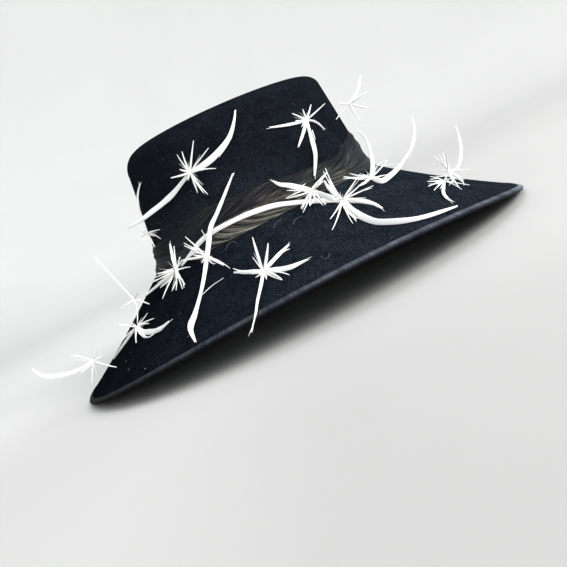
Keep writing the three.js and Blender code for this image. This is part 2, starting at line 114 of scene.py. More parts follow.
# One row for each spray, by places on the view plane: mm from its left edge, mm down from its top.
# "fine" gives bare strands that lie about a spray, as a width and a way, on that plane too.
SPRAYS = [
    {"name": "spray_crown_back", "hub": (190, 172.5),
     "barbs": [(193.5, 140.5), (177, 154.5), (182, 151.5), (171, 177.5), (202, 156.5), (216, 168.5),
               (208.5, 148), (179.5, 169.5), (197.5, 193), (203.5, 193), (208, 194.5),
               (188, 180.5)],
     "blades": [blade((4, 6.6, 6.4, 5, 3.4, 1.2), (207, 163), (219, 151), (226, 142), (232, 131),
                      (235.5, 110)),
                blade((3.2, 4.4, 6, 5.4, 4.4, 2.2), (171, 196), (160.5, 205), (151.5, 212),
                      (143.5, 218.5), (129, 227.5))],
     "fine": [(2.6, (192, 172), (181, 175.5), (171, 178)),
              (1.2, (219, 157), (227, 147), (232, 137))]},
    {"name": "spray_crown_front", "hub": (306.5, 120),
     "barbs": [(311, 104.5), (302.5, 109), (292, 113.5), (295.5, 120.5), (301.5, 127),
               (325, 103.5)],
     "blades": [blade((3.2, 3, 2.6, 1.2), (290, 124.5), (270, 127.5)),
                blade((1.8, 2.2, 2, 1), (316, 122), (324, 129)),
                blade((2.6, 3.4, 3, 1.4), (303.5, 132), (298.5, 146.5)),
                blade((3.2, 3.4, 4.6, 4.4, 3.2, 1.8), (311, 137), (314.5, 149), (315.5, 159),
                      (314.5, 176))],
     "fine": [(1.4, (312, 130), (314, 135), (315.5, 140))]},
    {"name": "spray_crown_far", "hub": (349.5, 104), "foot": (336.5, 119),
     "barbs": [(367.5, 91), (364, 94), (360.5, 121.5), (338, 103)],
     "blades": [blade((2.4, 3, 2.8, 1.3), (354, 97), (358, 88.5), (360.5, 76)),
                blade((1.6, 2, 1), (358, 106), (368, 108))],
     "fine": [(1.6, (350, 106), (359, 108.5), (367, 109.5)),
              (2, (348, 106), (345, 111), (342, 116))]},
    {"name": "spray_band_front", "hub": (371.5, 177.5),
     "barbs": [(387.5, 160), (349.5, 173.5), (361.5, 174), (343, 178.5), (360, 186)],
     "blades": [blade((5, 5.2, 4, 3.2, 2.2, 1), (373, 166), (371.5, 158), (368, 144.5),
                      (363.5, 136), (357.5, 130.5)),
                blade((4.6, 5.8, 5.4, 4.2, 3, 2.8, 3.2, 2.4, 1), (381.5, 181), (389.5, 176),
                      (397, 169.5), (403, 161.5), (411, 149), (414.5, 132), (412, 117))],
     "fine": [(2.2, (368, 179), (356, 179.5), (343.5, 176.5)),
              (3, (369, 179), (364, 183), (358.5, 186)), (1.2, (368, 178), (367.5, 173.5)),
              (1.6, (372, 177), (362, 177), (352, 179)), (1.2, (375, 170), (379, 164), (386, 160)),
              (1.6, (374, 178), (382, 176), (388, 174.5)),
              (1.1, (386, 158), (393, 163), (399, 168)), (1.1, (388, 162), (394, 165), (400, 166)),
              (1, (382, 166.5), (391, 165), (398, 164)),
              (1.3, (399, 166), (405, 160), (411, 155))]},
    {"name": "spray_brim_front", "hub": (448.5, 170.5), "foot": (444, 181),
     "barbs": [(433.5, 156), (438, 154.5), (442.5, 153), (446.5, 153.5), (469, 169.5), (464, 180),
               (460, 188.5), (464.5, 184)],
     "foot_barbs": [(427, 181.5), (430, 176.5), (428, 186.5), (434, 190.5)],
     "blades": [blade((2, 2.8, 3.4, 3.2, 2.6, 1.2), (454.5, 171), (459.5, 163), (461, 151.5),
                      (459.5, 139), (455.5, 126.5))],
     "foot_blades": [blade((3, 3.6, 3, 1.2), (443.5, 188.5), (444.5, 195.5), (452, 201.5))],
     "fine": [(1.3, (444, 181), (457, 183), (469.5, 185)),
              (1.2, (445, 181), (455, 186), (462, 189.5)),
              (1.2, (444, 180), (454, 178), (463.5, 180.5)), (1.1, (446, 178), (452, 184)),
              (1.1, (450, 177), (456, 184)), (1.1, (455, 177), (449, 186)),
              (1, (459, 178), (464, 186)), (1.1, (430, 179.5), (438, 179), (444, 181)),
              (1, (436, 177), (443, 176), (452, 174)), (1.2, (444, 181), (436, 184), (428.5, 184)),
              (1, (440, 189), (443, 183))]},
    {"name": "spray_band_side", "hub": (342, 200), "stand": 2.8,
     "barbs": [(325.5, 168), (325, 176), (324.5, 181.5), (359.5, 179.5), (362.5, 182.5),
               (373.5, 185.5), (330, 219), (332, 230), (353, 223.5), (356.5, 221.5)],
     "blades": [blade((6.2, 7.2, 6.8, 6.4, 5.6, 4.6, 3.8, 1.5), (349, 208), (356, 213), (365, 218),
                      (374, 221.5), (396, 221.5), (420, 218), (440, 212), (457.5, 206)),
                blade((4.6, 5.2, 5, 3.8, 1.8), (360.5, 201), (369.5, 202.5), (376.5, 205),
                      (382.5, 208.5)),
                blade((3, 3.2, 1.4), (346, 209), (356, 218.5)),
                blade((5, 4.6, 4.6, 5, 5.4, 5.2, 5, 5, 5, 4.4, 1.6), (317.5, 201), (302.5, 202),
                      (280, 204.5), (265.5, 208), (240, 217.5), (223, 226.5), (211, 233),
                      (198, 244), (189.5, 256), (181.5, 266), hugs=True)],
     "fine": [(4, (340, 199), (332, 193), (327, 187), (324.5, 181)),
              (1.5, (340, 197), (332, 187), (323.5, 171.5)),
              (1.4, (344, 197), (352, 186), (360.5, 173.5)),
              (1.3, (345, 199), (360, 193), (372, 188)), (1.2, (352, 199), (366, 198)),
              (1.4, (343, 204), (347, 212), (355, 219)),
              (3.4, (346, 204), (352, 210), (359, 216))]},
    {"name": "spray_band_top", "hub": (311.5, 191.5), "stand": 8.5,
     "barbs": [(327, 172), (324.5, 180.5), (301, 208.5), (303, 212.5), (310, 206), (325.5, 205),
               (286, 198.5), (286.5, 190.5)],
     "blades": [blade((5.8, 6, 5.2, 4.4, 1.4), (302.5, 188.5), (289, 185.5), (280, 184.5),
                      (272.5, 181)),
                blade((5.8, 6, 5), (322, 195), (334, 198.5))],
     "fine": [(1.1, (300, 187), (305.5, 183.5)), (1, (295, 187.5), (294.5, 194)),
              (1, (298, 190), (289, 190)), (1.5, (312, 194), (317, 200), (323.5, 205.5)),
              (1.4, (309, 194), (306, 201), (302, 210)),
              (1.4, (314, 193), (313, 200), (309.5, 206)),
              (1.2, (317, 193), (320, 199), (326.5, 204)), (2, (310, 191), (318, 182), (327, 172)),
              (1.3, (304, 190), (296, 193.5), (286, 198))]},
    {"name": "spray_band_back", "hub": (207, 256.5),
     "barbs": [(185, 236.5), (184, 245.5), (192, 254.5), (188.5, 259), (214, 264.5), (201.5, 263),
               (230, 268.5)],
     "blades": [blade((5.2, 5, 4.4, 3.8, 3, 1.4), (208.5, 245.5), (210.5, 228), (214, 220),
                      (222, 201), (233, 173.5)),
                blade((5.2, 4, 3.3, 4.2, 6.6, 1.8), (205, 271), (201.5, 290), (195.5, 312.5),
                      (190.5, 328), (195.5, 342))],
     "fine": [(0.95, (202, 295), (212, 286), (223.5, 278)),
              (1.2, (208, 247), (205, 238), (201.5, 230)),
              (2.8, (208, 257), (216, 261.5), (224, 265.5)),
              (1.2, (207, 257), (211, 263), (215.5, 263.5)),
              (1.4, (205, 252), (194, 249), (184, 243)),
              (1.3, (204, 255), (196, 253), (190, 255.5)),
              (2.4, (205, 257), (196, 259), (186, 260))]},
    {"name": "spray_back_low", "hub": (176.5, 270.5),
     "barbs": [(174, 246), (179.5, 257), (190.5, 267), (157, 273.5), (154.5, 278), (152.5, 282.5),
               (160.5, 286.5), (162.5, 299), (176, 290.5), (182.5, 289), (185, 284.5)],
     "blades": [blade((3.2, 3.8, 1.6), (173, 258), (170, 244)),
                blade((2.4, 3, 1.6), (160, 283.5), (145, 296))],
     "fine": [(3.6, (176, 265), (177, 272), (176.5, 281)),
              (1.6, (176, 281), (174, 286), (172, 291)),
              (2.4, (176, 268), (166, 271.5), (158, 274)),
              (1.6, (178, 276), (182, 281), (184, 288)),
              (2.6, (179, 266), (182, 261.5), (186, 259)), (1.3, (178, 262), (180.5, 257)),
              (1.4, (174, 272), (164, 277), (154, 280.5)),
              (1.4, (174, 276), (167, 282), (160, 288))]},
    {"name": "spray_brim_side", "hub": (263.5, 271.5), "stand": 4.4,
     "barbs": [(252.5, 237), (252.5, 257), (268, 243), (289.5, 275), (282.5, 280), (255.5, 277.5),
               (266.5, 279.5)],
     "blades": [blade((3.4, 4.2, 3.8, 1.8), (276, 257.5), (288.5, 245)),
                blade((4.8, 4.8, 3.8, 1.4), (250, 272), (234, 272.5)),
                blade((5.2, 6, 5.6, 4, 1.5), (272.5, 270.5), (283, 269), (291, 267),
                      (307.5, 259.5)),
                blade((3.8, 3.4, 3, 2.6, 1.8, 0.8), (260.5, 288), (258, 297.5), (256.5, 308.5),
                      (254.5, 319), (251, 332))],
     "fine": [(1.5, (282, 253), (286, 250.5), (289.5, 249)),
              (1.7, (250, 271), (241, 270.5), (233, 268.5)),
              (2.6, (265, 268), (266.5, 256), (268, 243.5)),
              (2.2, (262, 268), (257, 254), (252.5, 237.5)),
              (2.4, (268, 272), (275, 275.5), (282, 279.5)),
              (1.2, (264, 275), (266.5, 277), (267, 274))]},
    {"name": "spray_back_high", "hub": (134, 299.5), "foot": (149, 304),
     "barbs": [(120, 309.5), (128, 305), (133, 311), (138, 291)],
     "blades": [blade((1.2, 1.5, 0.8), (116, 280.5), (96.5, 259))],
     "fine": [(1.9, (134, 300), (137, 308), (137.5, 325)),
              (1.1, (134, 300), (139, 301), (145, 297.5))]},
    {"name": "spray_back_side", "hub": (136.5, 327),
     "barbs": [(147.5, 313), (154, 318.5), (149, 323.5), (129.5, 322), (119, 325), (136, 343),
               (145, 338)],
     "blades": [blade((4.4, 5.8, 5.4, 3.6, 1.4), (142, 331.5), (149, 332), (159, 329.5),
                      (169, 321.5)),
                blade((1.8, 2.8, 2.4, 1), (126, 341), (113.5, 359))],
     "fine": [(1.6, (140, 331), (147, 337), (154, 334)), (1.3, (134, 329), (127, 335), (121, 342)),
              (1.8, (137, 328), (128, 325), (119, 324.5)),
              (1.5, (137, 328), (135, 336), (136.5, 343))]},
    {"name": "spray_back_rim", "hub": (93.5, 361), "foot": (116, 367),
     "barbs": [(72, 355.5), (97, 349.5), (103, 355.5), (80.5, 373), (92, 384)],
     "blades": [blade((2.8, 3.4, 4, 4.6, 4.8, 3.6, 1.4), (81, 368.5), (70.5, 373), (59.5, 375.5),
                      (49.5, 376.5), (39.5, 374.5), (32.5, 369))],
     "fine": [(2.4, (94, 361), (100, 363), (108, 365)), (1.3, (93, 361), (86, 366), (80, 371))]},
    {"name": "spray_crown_edge", "hub": (147, 233), "foot": (154, 236),
     "barbs": [(160, 229.5), (155, 247), (134, 228.5), (139, 238)],
     "blades": [blade((1.4, 2.2, 2.4, 1), (141.5, 218), (137.5, 200), (140, 183.5))],
     "fine": [(1.4, (147, 233), (154, 234), (161, 239)),
              (1.2, (147, 234), (152, 240), (154, 247))]},
]


def place(points):
    """Points of the hat's own frame, in mm, as points of the row frame, in metres."""
    return (np.asarray(points, float) + SHIFT) / 1000


def add_object(name, data):
    thing = bpy.data.objects.new(name, data)
    bpy.context.scene.collection.objects.link(thing)
    return thing


def add_mesh(name, verts, faces, material):
    """A smooth mesh object. Its vertices are in metres in the row frame."""
    mesh = bpy.data.meshes.new(name)
    mesh.from_pydata(verts, [], [tuple(int(i) for i in f) for f in faces])
    mesh.validate()
    mesh.update()
    mesh.polygons.foreach_set("use_smooth", [True] * len(mesh.polygons))
    mesh.materials.append(material)
    return add_object(name, mesh)


def new_piece(name, verts, faces, material, stands_for=()):
    """A mesh object that rides on the hat. Its vertices are in mm in the hat's own frame."""
    piece = add_mesh(name, place(verts).tolist(), faces, material)
    if stands_for:
        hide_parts(*stands_for)
    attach(piece, "root")
    return piece


def ring_faces(rows, count, closed):
    """Quads between rows of points that each go right round. The last row joins the first."""
    faces = []
    last = rows if closed else rows - 1
    for i in range(last):
        lower, upper = i * count, ((i + 1) % rows) * count
        for j in range(count):
            k = (j + 1) % count
            faces.append((lower + j, lower + k, upper + k, upper + j))
    return faces


def facing_out(verts, faces):
    """The faces, all turned round if the solid that they close is inside out."""
    verts = np.asarray(verts)
    quads = np.asarray(faces)
    a, b, c, d = (verts[quads[:, i]] for i in range(4))
    volume = np.einsum("ij,ij->i", a, np.cross(b, c)).sum()
    volume += np.einsum("ij,ij->i", a, np.cross(c, d)).sum()
    return faces if volume > 0 else [tuple(reversed(f)) for f in faces]


def ring_solid(name, rows, material, node):
    """A closed solid of rows that each go right round, in the place of one CAD node."""
    verts = np.concatenate(rows)
    faces = facing_out(verts, ring_faces(len(rows), len(rows[0]), True))
    return new_piece(name, verts, faces, material, stands_for=(node,))


def set_floats(piece, name, values):
    """A float at each vertex, for a material to read."""
    attribute = piece.data.attributes.new(name, "FLOAT", "POINT")
    attribute.data.foreach_set("value", np.asarray(values, np.float32).ravel())


def corners(piece):
    """The vertex at each corner of a piece's faces."""
    found = np.zeros(len(piece.data.loops), np.int64)
    piece.data.loops.foreach_get("vertex_index", found)
    return found


def set_uvs(piece, uvs):
    layer = piece.data.uv_layers.new(name="UVMap")
    layer.data.foreach_set("uv", np.asarray(uvs, np.float32).ravel())


# The outline of crown and brim


def mix(a, b, share):
    return a + (b - a) * share


def smoothstep(x):
    x = np.clip(x, 0, 1)
    return x * x * (3 - 2 * x)


def within(x, low, high, ease, ease_out=None):
    """1 between low and high, eased to 0 at both ends over the lengths given."""
    return smoothstep((x - low) / ease) * smoothstep((high - x) / (ease_out or ease))


def signed_degrees(angle):
    """Degrees from the front of the hat, between -180 and 180. The photo shows those below 0."""
    return (np.degrees(angle) + 180) % 360 - 180


def unit(vectors):
    return vectors / np.maximum(1e-9, np.linalg.norm(vectors, axis=-1, keepdims=True))


def crown_corner(angle):
    return mix(CROWN["back_corner"], CROWN["front_corner"], (1 + np.cos(angle)) / 2)


def crown_top(x):
    return HEADLINE["height"] + CROWN["rise"] - CROWN["top_fall"] * x


def crown_oval(angle, share, inset):
    taper = np.where(np.cos(angle) >= 0, CROWN["front_taper"], CROWN["back_taper"])
    side_taper = (CROWN["front_taper"] + CROWN["back_taper"]) / 2
    x = (HEADLINE["length"] / 2 - taper * share - inset) * np.cos(angle)
    y = (HEADLINE["width"] / 2 - side_taper * share - inset) * np.sin(angle)
    return x, y


def crown_side(angle, share, out):
    x, y = crown_oval(angle, share, -out)
    face_x, _ = crown_oval(angle, share, 0)
    height = crown_top(face_x) - crown_corner(angle) - HEADLINE["height"]
    return np.stack([x, y, HEADLINE["height"] + height * share], -1)


def crown_share(angle, rise):
    top = crown_top(crown_oval(angle, 1, 0)[0])
    return rise / (top - crown_corner(angle) - HEADLINE["height"])


def crown_edge(angle, bend, wall):
    corner = crown_corner(angle)
    round_edge = corner - wall
    x, y = crown_oval(angle, 1, wall + round_edge * (1 - np.cos(bend)))
    return np.stack([x, y, crown_top(x) - corner + round_edge * np.sin(bend)], -1)


def crown_tip(angle, share, wall):
    x, y = crown_oval(angle, 1, crown_corner(angle))
    x, y = x * share, y * share
    z = crown_top(x) - wall + CROWN["dome"] * (1 - share * share)
    return np.stack([x, y, z], -1)


def rim_foot(angle):
    half = np.where(np.cos(angle) >= 0, BRIM["front"], BRIM["back"])
    across = np.sin(angle) ** 2
    rise = BRIM["side_rise"] * across + BRIM["front_lean"] * np.cos(angle) * across - BRIM["flat"]
    return np.stack([half * np.cos(angle), BRIM["side"] * np.sin(angle), np.maximum(0, rise)], -1)


class Slope:
    """The slope of the brim at an array of angles. at(along, up) is a point on it."""

    def __init__(self, angle):
        foot = rim_foot(angle)
        head = crown_side(angle, 0, 0)
        outward = (foot - head) * [1, 1, 0]
        run = np.linalg.norm(outward, axis=-1)
        outward = outward / run[..., None]
        lie = np.arctan2(head[..., 2] - foot[..., 2], run)
        corner = foot - outward * (BINDING["thickness"] * np.sin(lie))[..., None]
        corner[..., 2] -= BINDING["foot"]
        self.felt_top = (BINDING["thickness"] + BRIM["felt"]) / 2
        end = head - outward * (self.felt_top * np.sin(lie))[..., None]
        end[..., 2] -= self.felt_top * np.cos(lie)
        inward = end - corner
        self.length = np.linalg.norm(inward, axis=-1)
        self.inward = inward / self.length[..., None]
        self.fall = np.arcsin(self.inward[..., 2])
        self.normal = outward * np.sin(self.fall)[..., None]
        self.normal[..., 2] = np.cos(self.fall)
        self.corner = corner
        self.head = head
        self.full = BINDING["leg"] + 2 * BRIM["edge_step"]

    def at(self, along, up):
        along = along + 0 * self.length
        share = np.maximum(0, along - self.full) / (self.length - self.full)
        point = self.corner + self.inward * along[..., None]
        point = point + self.normal * (up + 0 * self.length)[..., None]
        point[..., 2] -= BRIM["sag"] * 4 * share * (1 - share)
        return point


def angles(count):
    return np.arange(count) * 2 * math.pi / count


def wander(angle, seed, order=5):
    """A slow, smooth and seeded wave round the hat, between about -1 and 1."""
    rng = np.random.default_rng(seed)
    wave = np.zeros_like(angle)
    for turn in range(1, order + 1):
        wave += rng.normal() * np.sin(turn * angle + rng.uniform(0, 2 * math.pi)) / turn
    return wave / 1.6


# Materials


class Shader:
    """A small helper that builds one node material."""

    def __init__(self, name):
        self.material = bpy.data.materials.new(name)
        self.material.use_nodes = True
        self.tree = self.material.node_tree
        self.bsdf = self.tree.nodes["Principled BSDF"]
        self.coords = self.tree.nodes.new("ShaderNodeTexCoord")

    def new(self, kind):
        return self.tree.nodes.new(kind)

    def join(self, source, target):
        self.tree.links.new(source, target)

    def finish(self, colour, normal=None, **values):
        """The material, with its colour, its bump and the other values of its surface."""
        self.join(colour, self.bsdf.inputs["Base Color"])
        if normal is not None:
            self.join(normal, self.bsdf.inputs["Normal"])
        for key, value in values.items():
            self.bsdf.inputs[key.replace("_", " ")].default_value = value
        return self.material

    def stretched(self, source, scale):
        mapping = self.new("ShaderNodeMapping")
        mapping.inputs["Scale"].default_value = scale
        self.join(source, mapping.inputs["Vector"])
        return mapping.outputs["Vector"]

    def noise(self, scale, detail=2.0, rough=0.5, vector=None, warp=0.0):
        node = self.new("ShaderNodeTexNoise")
        node.inputs["Scale"].default_value = scale
        node.inputs["Detail"].default_value = detail
        node.inputs["Roughness"].default_value = rough
        node.inputs["Distortion"].default_value = warp
        self.join(vector or self.coords.outputs["Object"], node.inputs["Vector"])
        return node.outputs["Fac"]

    def floats(self, name):
        node = self.new("ShaderNodeAttribute")
        node.attribute_name = name
        return node.outputs["Fac"]

    def ramp(self, source, stops, smooth=False):
        node = self.new("ShaderNodeValToRGB")
        ramp = node.color_ramp
        ramp.interpolation = "EASE" if smooth else "LINEAR"
        while len(ramp.elements) < len(stops):
            ramp.elements.new(0.5)
        for element, (where, colour) in zip(ramp.elements, stops):
            element.position = where
            element.color = (*colour, 1) if hasattr(colour, "__len__") else (colour,) * 3 + (1,)
        self.join(source, node.inputs["Fac"])
        return node.outputs["Color"]

    def sums(self, kind, a, b):
        node = self.new("ShaderNodeMath")
        node.operation = kind
        for socket, value in zip(node.inputs, (a, b)):
            if isinstance(value, (int, float)):
                socket.default_value = value
            else:
                self.join(value, socket)
        return node.outputs[0]

    def blend(self, fac, a, b, kind="MIX"):
        node = self.new("ShaderNodeMix")
        node.data_type = "RGBA"
        node.blend_type = kind
        for socket, value in ((node.inputs[0], fac), (node.inputs[6], a), (node.inputs[7], b)):
            if isinstance(value, (int, float)):
                socket.default_value = value
            elif hasattr(value, "__len__"):
                socket.default_value = (*value, 1)
            else:
                self.join(value, socket)
        return node.outputs[2]

    def times(self, a, b):
        return self.blend(1.0, a, b, "MULTIPLY")

    def mean(self, a, b, share):
        """A share of a, and the rest of b."""
        return self.sums("ADD", self.sums("MULTIPLY", a, share),
                         self.sums("MULTIPLY", b, 1 - share))

    def bump(self, height, strength, distance, before=None):
        node = self.new("ShaderNodeBump")
        node.inputs["Strength"].default_value = strength
        node.inputs["Distance"].default_value = distance
        self.join(height, node.inputs["Height"])
        if before is not None:
            self.join(before, node.inputs["Normal"])
        return node.outputs["Normal"]


def felt_material(name, dark, light, grains):
    """Velour felt: a short nap with a soft mottle, fine fibres and a little pale lint, its colour
    times painted light and shade from a float at each vertex.
    """
    s = Shader(name)
    mottle = s.noise(55, 3, 0.55)
    brushed = s.noise(340, 4, 0.6, warp=0.6)
    nap = s.noise(820, 4, 0.7)
    fibre = s.noise(4200, 2, 0.6)
    cloth = s.ramp(s.mean(mottle, brushed, 0.45), [(0.36, dark), (0.64, light)], smooth=True)
    grain = s.ramp(nap, list(zip((0.36, 0.5, 0.64), grains)))
    # Painted light and shade: the colour times a float at each vertex.
    cloth = s.times(s.times(cloth, grain), s.floats("light_and_shade"))
    lint = s.ramp(s.noise(1150, 1, 0.4), [(0.765, 0.0), (0.8, 1.0)])
    cloth = s.blend(lint, cloth, tuple(min(1.0, 5 * c + 0.03) for c in light))
    coarse = s.bump(brushed, 0.35, 0.0012)
    fine = s.bump(nap, 0.55, 0.0005, coarse)
    return s.finish(cloth, s.bump(fibre, 0.5, 0.0002, fine), Roughness=1.0,
                    Specular_IOR_Level=0.0)


def ribbon_material():
    """Grosgrain: a painted highlight on the tops of its cross ribs and painted shade between them,
    times painted light and shade round the hat.
    """
    s = Shader("rim_grosgrain")
    worn = s.noise(90, 3, 0.6)
    crest_light = s.ramp(worn, [(0.3, (0.08, 0.092, 0.115)), (0.7, (0.138, 0.156, 0.188))], smooth=True)
    # Painted highlight on the tops of the ribs, painted shade between them, by the rib float at
    # each vertex.
    cloth = s.blend(s.floats("rib"), s.times(crest_light, (0.05, 0.052, 0.06)), crest_light)
    thread = s.bump(s.noise(5200, 2, 0.5), 0.35, 0.00015)
    # The colour times painted light and shade round the hat.
    return s.finish(s.times(cloth, s.floats("light_and_shade")), thread, Roughness=0.7,
                    Specular_IOR_Level=0.05)


def wrap_material():
    """Horsehair cloth over felt: fine hairs along the wrap, sheer at the top, khaki below."""
    s = Shader("horsehair_wrap")
    along = s.coords.outputs["UV"]
    streak = s.noise(1, 4, 0.6, s.stretched(along, (2.6, 40.0, 1.0)), warp=0.25)
    hair = s.noise(1, 3, 0.7, s.stretched(along, (5.0, 170.0, 1.0)))
    both = s.mean(streak, hair, 0.5)

    def cloth(dark, middle, light):
        return s.ramp(both, [(0.41, dark), (0.5, middle), (0.62, light)])

    plain = cloth((0.0052, 0.006, 0.0078), (0.0085, 0.0095, 0.0118), (0.021, 0.021, 0.023))
    brown = cloth((0.0066, 0.0072, 0.0095), (0.0175, 0.0174, 0.0222), (0.061, 0.0545, 0.06))
    olive = cloth((0.0072, 0.0086, 0.0098), (0.021, 0.0245, 0.0255), (0.084, 0.088, 0.08))
    slate = cloth((0.0115, 0.014, 0.0175), (0.0255, 0.0295, 0.035), (0.052, 0.059, 0.064))
    khaki = cloth((0.009, 0.009, 0.009), (0.079, 0.076, 0.068), (0.4, 0.378, 0.325))
    mixed = s.blend(s.floats("brown"), plain, brown)
    for name, colour in (("olive", olive), ("slate", slate), ("khaki", khaki)):
        mixed = s.blend(s.floats(name), mixed, colour)
    thin = s.ramp(both, [(0.52, (0.0098, 0.0125, 0.0175)), (0.66, (0.027, 0.028, 0.03))])
    return s.finish(s.blend(s.floats("sheer"), mixed, thin), s.bump(both, 0.5, 0.0005),
                    Roughness=0.6, Specular_IOR_Level=0.03)


def strand_material():
    s = Shader("horsehair_strand")
    stops = [(0.0, (0.006, 0.006, 0.0065)), (0.45, (0.031, 0.029, 0.031)),
             (0.8, (0.13, 0.117, 0.105)), (1.0, (0.4, 0.37, 0.3))]
    uneven = s.ramp(s.noise(700, 2), [(0.3, 0.7), (0.7, 1.3)])
    return s.finish(s.times(s.ramp(s.floats("tone"), stops), uneven), Roughness=0.45,
                    Specular_IOR_Level=0.2)


def quill_material():
    """Stripped quill: matte white, cream towards its root, with fine streaks along it."""
    s = Shader("white_quill")
    clean = s.ramp(s.noise(120, 3), [(0.35, (0.96, 0.955, 0.945)), (0.6, (0.99, 0.99, 0.985))])
    cream = s.blend(s.sums("MULTIPLY", s.floats("root"), 0.35), clean, (0.82, 0.76, 0.68))
    along = s.coords.outputs["UV"]
    streak = s.noise(1, 3, 0.6, s.stretched(along, (1.2, 46.0, 1.0)))
    shade = s.ramp(streak, [(0.3, 0.93), (0.5, 1.0)])
    return s.finish(s.times(cream, shade), s.bump(streak, 0.35, 0.0004), Roughness=0.55,
                    Specular_IOR_Level=0.35, Subsurface_Weight=0.08, Subsurface_Scale=0.002,
                    Subsurface_Radius=(1.0, 0.97, 0.94))


def lint_material():
    s = Shader("lint")
    stops = [(0.3, (0.12, 0.135, 0.16)), (0.7, (0.3, 0.32, 0.36))]
    return s.finish(s.ramp(s.noise(900, 2), stops), Roughness=0.8)


# Crown and brim are the same felt; the brim's copy is painted lighter, as painted light on the
# brim.
crown_felt_material = felt_material("crown_velour", (0.0052, 0.0066, 0.009),
                                    (0.0088, 0.0112, 0.015), (0.5, 0.93, 1.6))
brim_felt_material = felt_material("brim_velour", (0.0064, 0.0086, 0.0122),
                                   (0.0117, 0.0157, 0.022), (0.28, 0.88, 2.1))


def painted_light_round_hat(angle, low, high):
    """Painted light and shade round the hat, as a factor on the colour: painted shade darkest at
    the left end, painted light at the front and more painted light at the back.
    """
    degrees = signed_degrees(angle)
    near = mix(low, high, smoothstep((degrees + 150) / 90))
    behind = within(degrees, 25, 178, 60, 45)
    far = mix(high * 0.95, low, smoothstep((degrees - 120) / 60)) * (1 + 0.6 * behind)
    return np.where(degrees < 0, mix(near, high * 0.95, smoothstep((degrees + 45) / 45)), far)


# Crown and brim


def make_crown():
    angle = angles(CROWN_STEPS)
    felt = CROWN["felt"]
    hand = 0.16 * wander(angle, 3, 7)
    shares = np.linspace(0.06, 1, 17)
    base, inner = (crown_side(angle, 0, out) + [0, 0, GAP] for out in (0, -felt))
    rows = [base]
    rows += [crown_side(angle, share, hand * math.sin(math.pi * share)) for share in shares]
    rows += [crown_edge(angle, bend, 0) for bend in np.linspace(0, math.pi / 2, 13)[1:]]
    rows += [crown_tip(angle, share, 0) for share in np.linspace(1, 0, 13)[1:-1]]
    pinch = 1e-4 * (rows[-1] - rows[-1].mean(0))
    rows += [crown_tip(angle, 0, wall)[:1] + pinch for wall in (0, felt)]
    rows += [crown_tip(angle, share, felt) for share in np.linspace(0, 1, 9)[1:]]
    rows += [crown_edge(angle, bend, felt) for bend in np.linspace(math.pi / 2, 0, 9)[1:]]
    rows += [crown_side(angle, share, -felt) for share in np.linspace(1, 0, 9)[1:-1]]
    rows.append(inner)
    piece = ring_solid("crown_felt", rows, crown_felt_material, "crown")
    # Painted light on the near side of the crown, strongest at its foot, on top of the painted
    # light and shade round the hat.
    side = within(signed_degrees(angle), -172, -62, 30)
    reach = np.ones(len(rows))
    reach[:len(shares) + 1] = [0, *shares]
    foot = 1 + 0.75 * side * (1 - smoothstep((reach[:, None] - 0.25) / 0.45))
    set_floats(piece, "light_and_shade", painted_light_round_hat(angle, 1.12, 1.08) * foot)


def make_brim():
    angle = angles(BRIM_STEPS)
    slope = Slope(angle)
    nose = 0.7 + GAP
    edge_top = (BINDING["thickness"] + BRIM["edge_felt"]) / 2
    felt_top = slope.felt_top
    under = felt_top - BRIM["felt"]
    edge_under = edge_top - BRIM["edge_felt"]
    step = BINDING["leg"] + BRIM["edge_step"]
    face = CROWN["felt"] + GAP
    back = face + BRIM["felt"]
    collar = crown_share(angle, BRIM["collar"])
    hand = 0.22 * wander(angle, 11, 9)

    def skin(share, up):
        along = slope.full + (slope.length - slope.full) * share
        return slope.at(along, up + hand * math.sin(math.pi * share) ** 2)

    def step_up(t, edge, full):
        """The felt where it thins to its edge under the binding."""
        return slope.at(mix(step - 0.5, slope.full, t), mix(edge, full, smoothstep(t)))

    def inside(share, out):
        return crown_side(angle, collar * share, -out)

    rows = [slope.at(nose, edge_under), slope.at(nose, edge_top)]
    rows += [step_up(t, edge_top, felt_top) for t in np.linspace(0, 1, 6)]
    rows += [skin(share, felt_top) for share in np.linspace(0, 1, 26)[1:-1]]
    rows.append(slope.head)
    rows += [inside(share, face) for share in (0, 0.5, 0.94)]
    rows += [inside(1, face + 0.5), inside(1, back - 0.5)]
    rows += [inside(share, back) for share in (0.94, 0.5, 0)]
    turn, low = rows[-1], slope.at(slope.length - BRIM["felt"] * 1.4, under)
    rows += [mix(turn, low, t) - [0, 0, 0.5 * math.sin(math.pi * t)] for t in (0.35, 0.7)]
    rows.append(low)
    rows += [skin(share, under) for share in np.linspace(1, 0, 22)[2:-1]]
    rows += [step_up(t, edge_under, under) for t in np.linspace(1, 0, 5)]
    piece = ring_solid("brim_felt", rows, brim_felt_material, "brim")
    # Painted shade at the left end of the brim, painted light at its front and back.
    set_floats(piece, "light_and_shade", np.tile(painted_light_round_hat(angle, 0.42, 1.22), len(rows)))


